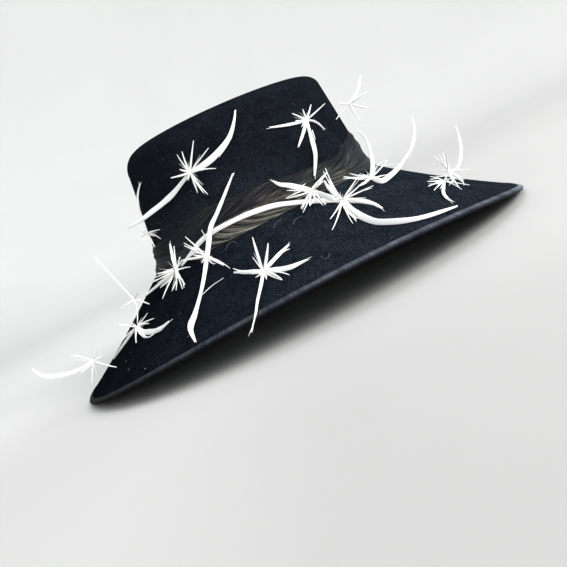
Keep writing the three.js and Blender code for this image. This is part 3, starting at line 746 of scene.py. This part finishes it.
def make_binding():
    """The ribbon over the rim. Its cross ribs are modelled, with a few steps to each."""
    fine = angles(RIM_STEPS)
    rim = rim_foot(fine)
    girth = np.concatenate([[0], np.cumsum(np.linalg.norm(np.diff(rim, axis=0), axis=1))])
    girth_all = girth[-1] + np.linalg.norm(rim[0] - rim[-1])
    ribs = round(girth_all / BINDING["rib"])
    steps = ribs * RIB_STEPS
    angle = np.interp(np.arange(steps) / steps * girth_all, np.append(girth, girth_all),
                      np.append(fine, 2 * math.pi))
    slope = Slope(angle)
    ridge = (0.5 - 0.5 * np.cos(2 * math.pi * np.arange(steps) / RIB_STEPS)) ** 0.8
    leg, thick, foot, bend = (BINDING[k] for k in ("leg", "thickness", "foot", "round"))
    edge_top = (thick + BRIM["edge_felt"]) / 2
    edge_under = edge_top - BRIM["edge_felt"]
    wave = 0.12 * np.sin(angle * 61 + 2 * np.sin(angle * 9)) + 0.1 * wander(angle, 23, 12)
    relief = BINDING["relief"]
    shine = np.repeat(np.random.default_rng(31).uniform(0.35, 1.0, ribs), RIB_STEPS)
    shine = np.roll(shine, RIB_STEPS // 2)
    # Each row: along the slope, up from it, share of the rib relief, and share of the painted
    # highlight on the ribs, which is low on the nose and underside as painted shade.
    profile = [
        (leg + wave, edge_top + 0.12, 0.0, 0.15),
        (leg + wave, thick - 0.3, 0.2, 0.5),
        (leg - 0.18 + wave, thick - 0.06, 0.7, 0.8),
        (leg * 0.72, thick, 1.0, 1.0),
        (leg * 0.42, thick, 1.0, 1.0),
        (bend, thick, 1.0, 0.8),
        (bend * 0.3, thick - bend * 0.3, 1.0, 0.42),
        (0.0, thick - bend, 1.0, 0.14),
        (0.0, mix(foot / np.cos(slope.fall), thick - bend, 0.4), 1.0, 0.0),
        (0.0, foot / np.cos(slope.fall), 0.3, 0.0),
        (foot / np.sin(slope.fall), 0.0, 0.3, 0.1),
        (leg * 0.5, 0.0, 1.0, 0.8),
        (leg - 0.15, 0.04, 0.7, 0.7),
        (leg, 0.3, 0.2, 0.5),
        (leg, edge_under - 0.12, 0.0, 0.15),
        (leg * 0.6, edge_under - 0.05, 0.0, 0.2),
        (0.85, edge_under - 0.05, 0.0, 0.2),
        (0.85, edge_top + 0.05, 0.0, 0.2),
        (leg * 0.6, edge_top + 0.05, 0.0, 0.2),
    ]
    middle_along, middle_up = leg * 0.45, thick / 2
    # Where painted light is added towards the front of the ribbon.
    front = within(signed_degrees(angle), -46, 60, 34, 30)
    rows, painted_rib_light = [], []
    for along, up, amount, crest_light in profile:
        along, up = along + 0 * angle, up + 0 * angle
        away = unit(np.stack([(along - middle_along) * 0.35, up - middle_up], -1))
        sink = relief * amount * (1 - ridge)
        rows.append(slope.at(along - away[:, 0] * sink, up - away[:, 1] * sink))
        # Painted highlight on the tops of the ribs and painted shade between them, painted shade on
        # the nose and underside, and painted light towards the front.
        painted_rib_light.append((0.05 + 0.95 * ridge * shine) * mix(crest_light, 1, 0.65 * front))
    piece = ring_solid("rim_ribbon", rows, ribbon_material(), "brim_binding")
    set_floats(piece, "rib", np.concatenate(painted_rib_light))
    # Painted shade at the left end of the ribbon, painted light at its back and more towards its
    # front.
    set_floats(piece, "light_and_shade", np.tile(painted_light_round_hat(angle, 0.22, 1.3) * (1 + 1.1 * front), len(rows)))


# The horsehair wrap


def band_place(angle):
    """Height, swell and foot of the band at an array of angles, eased between the table's rows."""
    degrees = signed_degrees(angle)
    at = np.array([row["at"] for row in BAND_PLACES], float)
    i = np.clip(np.searchsorted(at, degrees, side="right") - 1, 0, len(at) - 2)
    share = smoothstep((degrees - at[i]) / (at[i + 1] - at[i]))
    found = []
    for key in ("height", "swell", "foot"):
        value = np.array([row[key] for row in BAND_PLACES], float)
        found.append(mix(value[i], value[i + 1], share))
    return found


def spline(controls, where):
    """Points along a smooth curve through controls, which is (count, ..., 3)."""
    last = len(controls) - 1
    points = []
    for w in where:
        x = min(w * last, last - 1e-9)
        i = int(x)
        t = x - i
        p0, p1, p2, p3 = (controls[min(last, max(0, i + k))] for k in (-1, 0, 1, 2))
        points.append(0.5 * ((2 * p1) + (p2 - p0) * t + (2 * p0 - 5 * p1 + 4 * p2 - p3) * t**2
                             + (3 * p1 - p0 - 3 * p2 + p3) * t**3))
    return np.array(points)


WRAP_STEPS, WRAP_ROWS = 960, 80
WRAP = {"fall": 40.0, "climb": 60.0, "dive": 38.0, "fold": 0.56, "turn": 0.09}


def sweep(angle, across):
    """How far the hairs have moved over the wrap, in mm: up to the front above its fold, and
    down in the roll below it."""
    degrees = signed_degrees(angle)
    climb = np.where(degrees < 0, smoothstep((degrees + 165) / 165),
                     1 - smoothstep(degrees / 180)) * WRAP["climb"]
    dive = np.where(degrees < -40, smoothstep((degrees + 150) / 110),
                    1 - smoothstep((degrees + 40) / 220)) * WRAP["dive"]
    upper = 1 - smoothstep((across - WRAP["fold"] + WRAP["turn"] / 2) / WRAP["turn"])
    return climb * upper - dive * (1 - upper)


def wrap_grid():
    """Points of the wrap, (rows, steps, 3), from its top edge down to its foot, and its normals."""
    angle = angles(WRAP_STEPS)
    height, swell, foot = band_place(angle)
    slope = Slope(angle)

    def on_crown(share, stand):
        return crown_side(angle, crown_share(angle, height * share), stand)

    controls = [on_crown(1.01, 0.12)]
    for row, fold in enumerate(BAND_FOLDS):
        twist = np.sin(angle * BAND["twists"] + row)
        controls.append(on_crown(fold["share"] + fold["drift"] * twist, fold["stand"] * swell))
    reach = slope.length - foot * BAND["foot_bend"]
    controls.append(slope.at(reach, slope.felt_top + BAND["seat"] + 2 * BAND["foot_edge"]))
    controls.append(slope.at(slope.length - foot, slope.felt_top + 0.25))
    across = np.linspace(0, 1, WRAP_ROWS)
    grid = spline(np.array(controls), across)
    down = np.gradient(grid, axis=0)
    along = (np.roll(grid, -1, 1) - np.roll(grid, 1, 1)) / 2
    out = unit(np.cross(down, along))
    if (out[..., :2] * grid[..., :2]).sum() < 0:
        out = -out
    moved = sweep(angle[None, :], across[:, None]) / WRAP["fall"]
    phase = (across[:, None] + moved) * BAND["pleats"] + 0.7 * wander(angle, 41, 8)[None, :]
    saw = phase - np.floor(phase)
    lap = np.where(saw < 0.8, saw / 0.8, (1 - saw) / 0.2)
    depth = 0.65 + 0.35 * np.sin(3 * angle + 5 * across[:, None] + 1.3)
    fade = smoothstep(across / 0.22) * smoothstep((1 - across) / 0.08)
    relief = BAND["relief"] * (smoothstep(lap) - 0.6) * depth * fade[:, None]
    return angle, across, grid + out * relief[..., None], out


def wrap_tones(angle, across):
    """Shares of the khaki, brown, olive and slate cloth at places on the wrap."""
    degrees = signed_degrees(angle)

    def between(low, high, ease):
        return within(degrees, low, high, ease)

    fold = WRAP["fold"]
    roll = smoothstep((across - fold) / 0.05)
    khaki = roll * np.maximum(between(-121, -66, 9), 0.3 * between(20, 150, 25))
    khaki = np.maximum(khaki, 0.32 * between(-92, -62, 8) * smoothstep((across - 0.44) / 0.06))
    shaded = 1 - 0.6 * smoothstep((across - 0.26) / 0.2) * between(-125, -52, 14)
    brown = between(-114, -66, 12) * (1 - roll) * smoothstep((across - 0.04) / 0.2) * shaded
    bare = 0.04 + 0.26 * between(-58, -33, 9)
    olive = between(-82, -22, 16) * smoothstep((across - bare) / 0.25) * np.maximum(shaded, roll)
    khaki = np.maximum(khaki, 0.36 * between(-61, -43, 7) * smoothstep((across - 0.5) / 0.15))
    slate = between(-170, -112, 12) * smoothstep((across - 0.42) / 0.25)
    slate = slate * mix(0.65, 1, smoothstep((degrees + 152) / 24))
    slate = np.maximum(slate, 0.5 * between(-146, -98, 16) * smoothstep((across - 0.1) / 0.2))
    ends = 0.9 * between(-46, 30, 14)
    slate = np.maximum(slate, ends * smoothstep((across - 0.06 - bare) / 0.3))
    return khaki, brown, olive, slate


def make_wrap():
    angle, across, grid, out = wrap_grid()
    faces = ring_faces(WRAP_ROWS, WRAP_STEPS, False)
    piece = new_piece("band_wrap", grid.reshape(-1, 3), faces, wrap_material(),
                      stands_for=("horsehair_band",))
    girth = np.linalg.norm(np.roll(grid, -1, 1) - grid, axis=-1).mean() * WRAP_STEPS
    fall = np.linalg.norm(np.diff(grid, axis=0), axis=-1).mean() * (WRAP_ROWS - 1)
    row, step = np.divmod(corners(piece), WRAP_STEPS)
    quads = step.reshape(-1, 4)
    past_seam = (np.ptp(quads, axis=1) > 1)[:, None] & (quads == 0)
    u = (step / WRAP_STEPS + past_seam.ravel()) * girth / 100
    v = (row / (WRAP_ROWS - 1) * fall + sweep(angle[step], across[row])) / 100
    set_uvs(piece, np.stack([u, v], -1))
    rows = np.broadcast_to(across[:, None], (WRAP_ROWS, WRAP_STEPS))
    for name, share in zip(("khaki", "brown", "olive", "slate"), wrap_tones(angle[None, :], rows)):
        set_floats(piece, name, share)
    set_floats(piece, "sheer", 1 - smoothstep(rows / 0.42))
    return grid, out


# Hairs of the wrap that show one by one in the photo, by places on the view plane, with a tone.
SINGLE_HAIRS = [
    (0.6, (180, 235), (184, 227), (190, 217)),
    (0.5, (177, 232), (181, 224), (186, 218)),
    (0.8, (256, 198.5), (264, 191), (272, 184.5)),
    (0.6, (262, 198), (270, 190), (279, 184)),
    (0.5, (233, 207), (241, 199), (252, 192)),
    (0.45, (226, 214), (236, 206), (244, 199)),
    (0.9, (264, 203.5), (278, 199), (291, 193.5)),
    (0.7, (256, 206), (270, 201), (284, 196)),
    (0.6, (250, 208.5), (262, 203), (274, 199)),
    (0.75, (178, 247), (184, 243), (190, 240)),
    (0.6, (182, 251), (188, 247), (197, 244)),
    (0.8, (183, 243), (190, 246), (199, 247)),
    (0.65, (181, 246), (189, 250), (198, 252)),
    (0.6, (300, 180), (311, 172), (322, 166)),
    (0.75, (312, 181), (325, 171), (335, 163)),
    (0.6, (318, 183), (331, 171), (342, 161)),
    (0.7, (326, 178), (338, 167), (345, 159)),
    (0.55, (333, 180), (345, 170), (354, 158)),
    (0.5, (345, 178), (352, 168), (358, 158)),
    (0.45, (337, 136), (341.5, 148), (337, 160)),
    (0.4, (342, 134), (346, 147), (341, 161)),
]


def slim(t, ends):
    """Widths along a hair, as shares: full in the middle, less at both ends."""
    return ends + (1 - ends) * np.sin(math.pi * np.clip(t, 0.04, 0.96))


def make_strands(grid, out):
    """Loose hairs of the wrap: fine three-sided strands that lie along its cloth."""
    rng = np.random.default_rng(7)
    verts, faces, tones = [], [], []

    def strand(line, facing, width, tone):
        tangent = unit(np.gradient(line, axis=0))
        side = unit(np.cross(tangent, facing))
        front = np.cross(side, tangent)
        base, count = len(verts), len(line)
        for k in range(count):
            for a in angles(3):
                verts.append(line[k] + width[k] * (math.cos(a) * side[k] + math.sin(a) * front[k]))
        for k in range(count - 1):
            for turn in range(3):
                a, b = base + 3 * k + turn, base + 3 * k + (turn + 1) % 3
                faces.append((a, b, b + 3, a + 3))
        faces.append((base + 2, base + 1, base))
        end_at = base + 3 * (count - 1)
        faces.append((end_at, end_at + 1, end_at + 2))
        tones.extend([tone] * (3 * count))

    for index in range(LOOSE_HAIRS):
        degrees = rng.uniform(-180, 180)
        span = rng.uniform(8, 34)
        start = rng.choice([rng.uniform(0.05, WRAP["fold"]), rng.uniform(WRAP["fold"], 0.97)])
        count = int(8 + span / 2)
        t = np.linspace(0, 1, count)
        turned = np.radians(degrees + span * t) % (2 * math.pi)
        home = start + sweep(turned[:1], start) / WRAP["fall"]
        bow = 0.012 * np.sin(rng.uniform(2, 6) * t + index)
        down = home - sweep(turned, start) / WRAP["fall"] * rng.uniform(0.9, 1.1) + bow
        down = down - down[0] + start
        above = start < WRAP["fold"]
        low, high = (-0.03, WRAP["fold"] - 0.02) if above else (WRAP["fold"] + 0.01, 0.99)
        keep = (down > low) & (down < high)
        if keep.sum() < 5:
            continue
        t, turned, down = t[keep], turned[keep], down[keep]
        where = turned / (2 * math.pi) * WRAP_STEPS
        column = where.astype(int) % WRAP_STEPS
        part = (where - where.astype(int))[:, None]
        x = np.clip(down, 0, 0.999) * (WRAP_ROWS - 1)
        row = x.astype(int)
        step = (x - row)[:, None]
        after = (column + 1) % WRAP_STEPS
        upper = mix(grid[row, column], grid[row, after], part)
        lower = mix(grid[row + 1, column], grid[row + 1, after], part)
        lift = 0.06 + rng.uniform(0, 0.2) * np.sin(math.pi * t)
        line = mix(upper, lower, step) + out[row, column] * lift[:, None]
        line[:, 2] += np.maximum(0, -down) * 24
        width = rng.uniform(0.05, 0.12) * slim(t, 0.3)
        shares = wrap_tones(turned[len(t) // 2:][:1], down[len(t) // 2:][:1])
        khaki, brown, olive, slate = (float(share[0]) for share in shares)
        tone = rng.beta(1.4, 4.0) + 0.3 * khaki + 0.1 * max(brown, olive, slate)
        tone *= mix(0.4, 1, smoothstep(start / 0.34))
        strand(line, out[row, column], width, min(1.0, tone))
    for tone, *way in SINGLE_HAIRS:
        places = spaced(way, 14)
        depths = [surface_depth(p, 0.3) or math.nan for p in places]
        keep = np.isfinite(depths)
        line = np.array([sighted(p, d) for p, d, k in zip(places, depths, keep) if k])
        for _ in range(2):
            line[1:-1] = (line[:-2] + 2 * line[1:-1] + line[2:]) / 4
        strand(line, EYE - line, 0.26 * slim(np.linspace(0, 1, len(line)), 0.25), tone)
    piece = new_piece("band_strands", np.array(verts), faces, strand_material())
    set_floats(piece, "tone", tones)


# The quill sprays


def view_axes():
    turn, fall, roll = (math.radians(VIEW[k]) for k in ("turn", "fall", "roll"))
    forward = np.array([math.sin(turn) * math.cos(fall), math.cos(turn) * math.cos(fall),
                        -math.sin(fall)])
    level = unit(np.cross(forward, [0, 0, 1]))
    above = np.cross(level, forward)
    right = level * math.cos(roll) - above * math.sin(roll)
    up = above * math.cos(roll) + level * math.sin(roll)
    return right, up, forward


EYE = np.array(VIEW["eye"])
RIGHT, UP, FORWARD = view_axes()


def ray_to(x, y):
    ray = FORWARD * VIEW["distance"] + RIGHT * (x - VIEW["centre"]) + UP * (VIEW["centre"] - y)
    return ray / VIEW["distance"]


def sighted(point, depth):
    return EYE + ray_to(*point) * depth


def carrier_tree():
    """The faces of the four CAD solids that carry the sprays, in mm in the hat's own frame."""
    verts, faces = [], []
    for name in ("crown", "brim", "brim_binding", "horsehair_band"):
        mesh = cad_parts[name].data
        base = len(verts)
        verts += [Vector(np.array(v.co) * 1000 - SHIFT) for v in mesh.vertices]
        faces += [[base + i for i in p.vertices] for p in mesh.polygons]
    return BVHTree.FromPolygons(verts, faces)


CARRIERS = carrier_tree()


def surface_depth(point, stand):
    direction = unit(ray_to(*point))
    hit, normal, _, distance = CARRIERS.ray_cast(Vector(EYE), Vector(direction))
    if hit is None:
        return None
    graze = max(FEATHER["graze"], abs(float(np.dot(normal, direction))))
    return (distance - stand / graze) * float(direction @ FORWARD)


def spaced(way, count):
    """Points the same way apart along a smooth curve on the view plane."""
    way = np.array(way, float)
    dense = spline(way, np.linspace(0, 1, 60 * len(way)))
    run = np.concatenate([[0], np.cumsum(np.linalg.norm(np.diff(dense, axis=0), axis=1))])
    where = np.linspace(0, run[-1], count)
    return np.stack([np.interp(where, run, dense[:, 0]), np.interp(where, run, dense[:, 1])], -1)


def way_in_space(way, count, hub_depth, stand, slack):
    places = spaced(way, count)
    depths = [hub_depth]
    for i in range(1, count):
        reach = math.hypot(*(places[i] - places[0]))
        surface = surface_depth(places[i], stand)
        limit = hub_depth + slack * reach if math.isfinite(slack) else math.inf
        depths.append(min(depths[i - 1] if surface is None else surface, limit))
    for _ in range(FEATHER["taut"]):
        for i in range(1, count - 1):
            depths[i] = min(depths[i], (depths[i - 1] + depths[i + 1]) / 2)
    return np.array([sighted(p, d) for p, d in zip(places, depths)])


class Spray:
    """Collects the strips of one spray as one mesh."""

    def __init__(self, seed):
        self.verts, self.faces, self.root, self.uvs = [], [], [], []
        self.rng = np.random.default_rng(seed)

    def strip(self, line, widths, ridge, section, twist=0.0, root=None):
        """A closed strip along a line, facing the eye. section is (across, front) in widths."""
        tangent = unit(np.gradient(line, axis=0))
        sight = line - EYE
        side = unit(np.cross(tangent, sight))
        front = np.cross(tangent, side)
        if (front * sight).sum() > 0:
            front = -front
        t = np.linspace(0, 1, len(line))
        turned = twist * np.sin(math.pi * t)
        cos, sin = np.cos(turned)[:, None], np.sin(turned)[:, None]
        side, front = side * cos + front * sin, front * cos - side * sin
        base, size = len(self.verts), len(section)
        for k, point in enumerate(line):
            for index, (x, y) in enumerate(section):
                thick = ridge * min(1.0, widths[k] / 1.2)
                self.verts.append(point + side[k] * x * widths[k] + front[k] * y * thick)
                self.root.append(0.0 if root is None else root[k])
                self.uvs.append((t[k] * 2, index / size))
        for k in range(len(line) - 1):
            for j in range(size):
                a, b = base + size * k + j, base + size * k + (j + 1) % size
                self.faces.append((a, b, b + size, a + size))
        self.faces.append(tuple(base + j for j in reversed(range(size))))
        end = base + size * (len(line) - 1)
        self.faces.append(tuple(end + j for j in range(size)))


BLADE_SECTION = [(-0.5, -0.2), (-0.47, 0.18), (-0.37, 0.34), (0.37, 0.34), (0.47, 0.18),
                 (0.5, -0.2), (0.0, -0.1)]
BARB_SECTION = [(-0.5, -0.1), (-0.3, 0.35), (0.3, 0.35), (0.5, -0.1), (0.0, -0.35)]


def smooth_line(points, count):
    """A finer line through points in space."""
    return spline(np.asarray(points), np.linspace(0, 1, count))


def plane_width(line):
    """The size in mm of one mm of the view plane, at each point of a line."""
    return (line - EYE) @ FORWARD / VIEW["distance"]


def add_blade(spray, line, shape):
    """A flat blade with the widths of its shape, a slight ripple in its width, and a tip of a few
    filaments.
    """
    rng, count = spray.rng, 40
    line = smooth_line(line, count)
    t = np.linspace(0, 1, count)
    widths = np.interp(t, np.linspace(0, 1, len(shape)), shape)
    widths[1:-1] = (widths[:-2] + 2 * widths[1:-1] + widths[2:]) / 4
    widths *= 1 + 0.05 * np.sin(rng.uniform(14, 30) * t + rng.uniform(0, 6)) * np.sin(math.pi * t)
    spray.strip(line, widths * plane_width(line), FEATHER["ridge"], BLADE_SECTION,
                rng.uniform(-0.3, 0.3), np.exp(-t / 0.1))
    length = np.linalg.norm(np.diff(line, axis=0), axis=1).sum()
    tangent = unit(line[-1] - line[-5])
    side = unit(np.cross(tangent, line[-1] - EYE))
    for split in (-1, 1):
        start = line[int(count * rng.uniform(0.86, 0.93))]
        reach = min(6.0, 0.16 * length) * rng.uniform(0.6, 1.0)
        tip = start + tangent * reach + side * split * rng.uniform(0.25, 0.9)
        hair(spray, start, tip, 0.6, side * split * 0.15, 7)


def hair(spray, start, tip, width, bow, count):
    """A thin tapering filament from start to tip, bent sideways by bow."""
    t = np.linspace(0, 1, count)[:, None]
    line = start + (tip - start) * t + bow * np.sin(math.pi * t)
    widths = width * (1 - 0.78 * t[:, 0] ** 1.5)
    spray.strip(line, widths, 0.5, BARB_SECTION)


def add_barb(spray, line, width, tip=0.3):
    """A narrow barb, widest a third of the way along. Its width is on the view plane."""
    rng = spray.rng
    count = 14
    fine = smooth_line(line, count)
    t = np.linspace(0, 1, count)
    length = np.linalg.norm(fine[-1] - fine[0])
    side = unit(np.cross(fine[-1] - fine[0], fine[0] - EYE))
    fine = fine + side * (rng.uniform(-0.035, 0.035) * length * np.sin(math.pi * t))[:, None]
    fall = np.maximum(0, (t - 0.35) / 0.65) ** 1.2
    shape = np.where(t < 0.35, mix(0.85, 1, t / 0.35), mix(1, tip, fall))
    spray.strip(fine, width * shape * plane_width(fine), 0.6, BARB_SECTION, rng.uniform(-0.4, 0.4),
                np.exp(-t / 0.16))


def add_strand(spray, row, stand):
    """A bare strand by its width and its way on the view plane, over what carries the spray."""
    width, *way = row
    places = spaced(way, 9)
    depths = [surface_depth(p, stand) for p in places]
    known = [d for d in depths if d is not None]
    if not known:
        return
    for i in range(len(depths)):
        near = [d for d in depths[max(0, i - 2):i + 3] if d is not None]
        depths[i] = min(near) if near else min(known)
    for _ in range(4):
        depths[1:-1] = [min(d, (a + c) / 2) for a, d, c in zip(depths, depths[1:], depths[2:])]
    add_barb(spray, np.array([sighted(p, d) for p, d in zip(places, depths)]), width, 0.4)


def add_fuzz(spray, hub, tips, depth):
    """Short filaments that stand between the barbs of a hub."""
    rng = spray.rng
    centre = sighted(hub, depth)
    for tip in tips:
        for _ in range(2):
            share = rng.uniform(0.28, 0.72)
            spread = rng.normal(0, 0.16, 2) * np.linalg.norm(np.subtract(tip, hub))
            goal = np.add(hub, (np.subtract(tip, hub) * share)) + spread
            reach = np.linalg.norm(goal - hub)
            end = sighted(goal, depth - rng.uniform(-0.1, 0.7) * reach)
            hair(spray, centre, end, rng.uniform(0.28, 0.5), np.zeros(3), 6)


def add_knob(spray, point, size):
    """The hub, as a small knot: a few turns of thread round the roots of the barbs."""
    turns, radius = 5, FEATHER["knob"] * size
    t = np.linspace(0, 2 * math.pi, 15)
    for turn in range(turns):
        tilt = turn * math.pi / turns
        flat = math.cos(tilt) * RIGHT + math.sin(tilt) * FORWARD
        line = point + radius * (np.cos(t)[:, None] * flat + np.sin(t)[:, None] * UP)
        spray.strip(line, np.full(len(t), 1.2 * size), 0.7, BARB_SECTION, 0.0, np.full(len(t), 0.6))


def make_spray(row, seed, material):
    spray = Spray(seed)
    stand = row.get("stand", FEATHER["stand"])
    foot = row.get("foot", row["hub"])
    depth = surface_depth(foot, FEATHER["knob"] + GAP)
    add_knob(spray, sighted(foot, depth), 0.25 if "foot" in row else 0.45)

    def from_start(start, barbs, blades):
        for i, tip in enumerate(barbs):
            slack = FEATHER["barb_slack"][i % len(FEATHER["barb_slack"])]
            line = way_in_space([start, tip], 3, depth, stand, slack)
            add_barb(spray, line, FEATHER["barb"] * spray.rng.uniform(0.75, 1.1))
        for shape in blades:
            way = [start, *shape["way"]]
            slack = math.inf if shape["hugs"] else FEATHER["slack"]
            line = way_in_space(way, len(way) + 1, depth, stand, slack)
            add_blade(spray, line, shape["widths"])

    if "foot" in row:
        add_knob(spray, sighted(row["hub"], depth), 0.4)
        stem = way_in_space([foot, row["hub"]], 3, depth, stand, 0)
        add_barb(spray, stem[::-1], FEATHER["barb"], 0.45)
    from_start(row["hub"], row["barbs"], row["blades"])
    from_start(foot, row.get("foot_barbs", ()), row.get("foot_blades", ()))
    add_fuzz(spray, row["hub"], row["barbs"], depth)
    for strand in row.get("fine", ()):
        add_strand(spray, strand, stand * 0.8)
    piece = new_piece("quills_" + row["name"][6:], np.array(spray.verts), spray.faces, material,
                      stands_for=(row["name"],))
    set_floats(piece, "root", spray.root)
    set_uvs(piece, np.array(spray.uvs)[corners(piece)])


# Lint on the felt


# Curled fibres on the brim that show one by one in the photo, by places on the view plane.
CURLED_LINT = [
    (0.24, (293, 224.5), (295.5, 219.5), (301, 216)),
    (0.22, (320, 255.5), (324, 258.3), (328, 257), (330, 253)),
    (0.22, (225.5, 250), (228, 244.5), (233, 241.5), (237, 243.5)),
    (0.2, (273, 229), (276, 223), (281, 219)),
    (0.9, (144.4, 368.9), (145, 368.6), (145.6, 368.3)),
]


def make_lint():
    """Fine pale fibres that lie on crown and brim, a few millimetres long."""
    rng = np.random.default_rng(19)
    lint = Spray(19)
    for _ in range(LINT_FIBRES):
        angle = np.array([rng.uniform(0, 2 * math.pi)])
        heading = rng.uniform(0, 2 * math.pi)
        length = rng.uniform(0.8, 3.4)
        steps = np.linspace(-0.5, 0.5, 6) * length
        turned = heading + rng.normal(0, 0.9) * steps / length
        around, up = steps * np.cos(turned), steps * np.sin(turned)
        if rng.random() < 0.72:
            slope = Slope(angle)
            along = rng.uniform(slope.full + 2, slope.length[0] - 10)
            slope = Slope(angle + around / 190)
            line = slope.at(along + up, slope.felt_top + LINT_STAND)
        else:
            share = rng.uniform(0.3, 0.97)
            line = crown_side(angle + around / 95, share + up / 90, LINT_STAND)
        lint.strip(line, np.full(len(steps), rng.uniform(0.06, 0.13)), 0.1, BARB_SECTION)
    for width, *way in CURLED_LINT:
        line = np.array([sighted(p, surface_depth(p, CURL_STAND)) for p in spaced(way, 12)])
        lint.strip(line, width * plane_width(line), 0.12, BARB_SECTION)
    new_piece("felt_lint", np.array(lint.verts), lint.faces, lint_material())


# Floor, light and camera


def painted_floor_light_shade(x, y, away):
    """Painted light and shade in the floor's paint, by places in metres from the hat, after the
    photo's
    backdrop: greyer near the hat, painted shade on the left of the cove and at the front right,
    painted light at the left of the hat where its shadow falls, and paler far off as painted light."""
    # Painted shade on the left of the cove.
    painted_left_shade = smoothstep((-x - 0.5) / 1.2) * (1 - smoothstep((away - 2.2) / 0.5))
    share = np.clip(0.25 + 0.75 * away / (FLOOR["flat"] + FLOOR["cove"]), 0, 1) - 0.18 * painted_left_shade
    # Greyer near the hat, paler far off as painted light where the lamps fall off on the cove.
    tone = np.interp(share, (0.25, 0.5, 0.8, 1), (0.535, 0.55, 0.73, 0.71))
    # Painted light at the left of the hat, near it, where its shadow falls.
    left = smoothstep((-x - 0.05) / 0.22) * smoothstep((y + 0.25) / 0.35)
    tone = tone + 0.12 * left * (1 - smoothstep((away - 0.7) / 0.9))
    # Painted shade at the front right.
    painted_front_right_shade = smoothstep((-y - 0.2) / 0.15) * smoothstep((x + 0.12) / 0.12)
    return tone - 0.09 * painted_front_right_shade


def make_floor():
    """A pale floor that rises as a cove behind the hat and at its left, far from it."""
    s = Shader("pale_floor")
    cloud = s.ramp(s.noise(3, 3, 0.5), [(0.3, 0.97), (0.7, 1.0)])
    paint = s.ramp(s.floats("pale"), [(0.0, (0.0, 0.0, 0.0)), (1.0, (1.0, 1.0, 0.986))])
    material = s.finish(s.times(paint, cloud), Roughness=0.85, Specular_IOR_Level=0.1)
    flat, cove = FLOOR["flat"], FLOOR["cove"]
    rows = [(r, 0.0) for r in (0.001, 0.15, 0.3, 0.45, 0.6, 0.9, 1.2, flat)]
    rows += [(flat + cove * math.sin(a), cove * (1 - math.cos(a)))
             for a in np.linspace(0, math.pi / 2, 14)[1:]]
    rows.append((flat + cove, cove + FLOOR["wall"]))
    turns = angles(FLOOR["steps"])
    lift = smoothstep((np.sin(turns) + 0.25 + 0.9 * smoothstep(-2 * np.cos(turns))) / 0.6)
    verts = [(r * math.cos(a), r * math.sin(a), z * up - 0.0001)
             for r, z in rows for a, up in zip(turns, lift)]
    floor = add_mesh("studio_floor", verts, ring_faces(len(rows), len(turns), False), material)
    away = np.array([r for r, _ in rows])[:, None]
    # The floor's paint carries painted light and shade.
    set_floats(floor, "pale", painted_floor_light_shade(away * np.cos(turns), away * np.sin(turns), away))


def make_light(name, spot, aim, size, power, colour):
    light = bpy.data.lights.new(name, "AREA")
    light.shape, light.size, light.energy, light.color = "DISK", size, power, colour
    lamp = add_object(name, light)
    lamp.location = spot
    lamp.rotation_mode = "QUATERNION"
    lamp.rotation_quaternion = (Vector(aim) - Vector(spot)).to_track_quat("-Z", "Y")


def make_camera():
    camera = bpy.data.cameras.new("photo_camera")
    camera.sensor_width = 36
    camera.lens = 36 * VIEW["distance"] / (2 * VIEW["centre"])
    camera.clip_start, camera.clip_end = 0.02, 30
    eye = add_object("photo_camera", camera)
    axes = Matrix([[RIGHT[i], UP[i], -FORWARD[i]] for i in range(3)])
    eye.matrix_world = Matrix.Translation(Vector(place(EYE))) @ axes.to_4x4()
    bpy.context.scene.camera = eye


def make_world():
    world = bpy.data.worlds.new("studio")
    bpy.context.scene.world = world
    world.use_nodes = True
    tree = world.node_tree
    back = tree.nodes["Background"]
    back.inputs["Color"].default_value = (0.96, 0.98, 1.0, 1)
    way = tree.nodes.new("ShaderNodeTexCoord")
    dot = tree.nodes.new("ShaderNodeVectorMath")
    dot.operation = "DOT_PRODUCT"
    dot.inputs[1].default_value = (0.74, -0.52, 0.42)
    tree.links.new(way.outputs["Generated"], dot.inputs[0])
    spread = tree.nodes.new("ShaderNodeMapRange")
    spread.interpolation_type = "SMOOTHSTEP"
    for key, value in (("From Min", -0.7), ("From Max", 1.0), ("To Min", 0.15), ("To Max", 1.24)):
        spread.inputs[key].default_value = value
    tree.links.new(dot.outputs["Value"], spread.inputs["Value"])
    tree.links.new(spread.outputs["Result"], back.inputs["Strength"])
    bpy.context.scene.view_settings.view_transform = "Standard"
    bpy.context.scene.view_settings.look = "None"


make_camera()
make_world()
make_floor()
make_light("window", (1.6, -1.1, 1.1), (0, 0, 0.08), 1.2, 50, (1, 0.99, 0.975))
make_light("ceiling", (0.3, 0.2, 2.8), (0, 0.3, 0), 2.4, 19, (0.97, 0.985, 1))

make_crown()
make_brim()
make_binding()
make_strands(*make_wrap())
quill = quill_material()
for number, row in enumerate(SPRAYS):
    make_spray(row, 100 + number, quill)
make_lint()
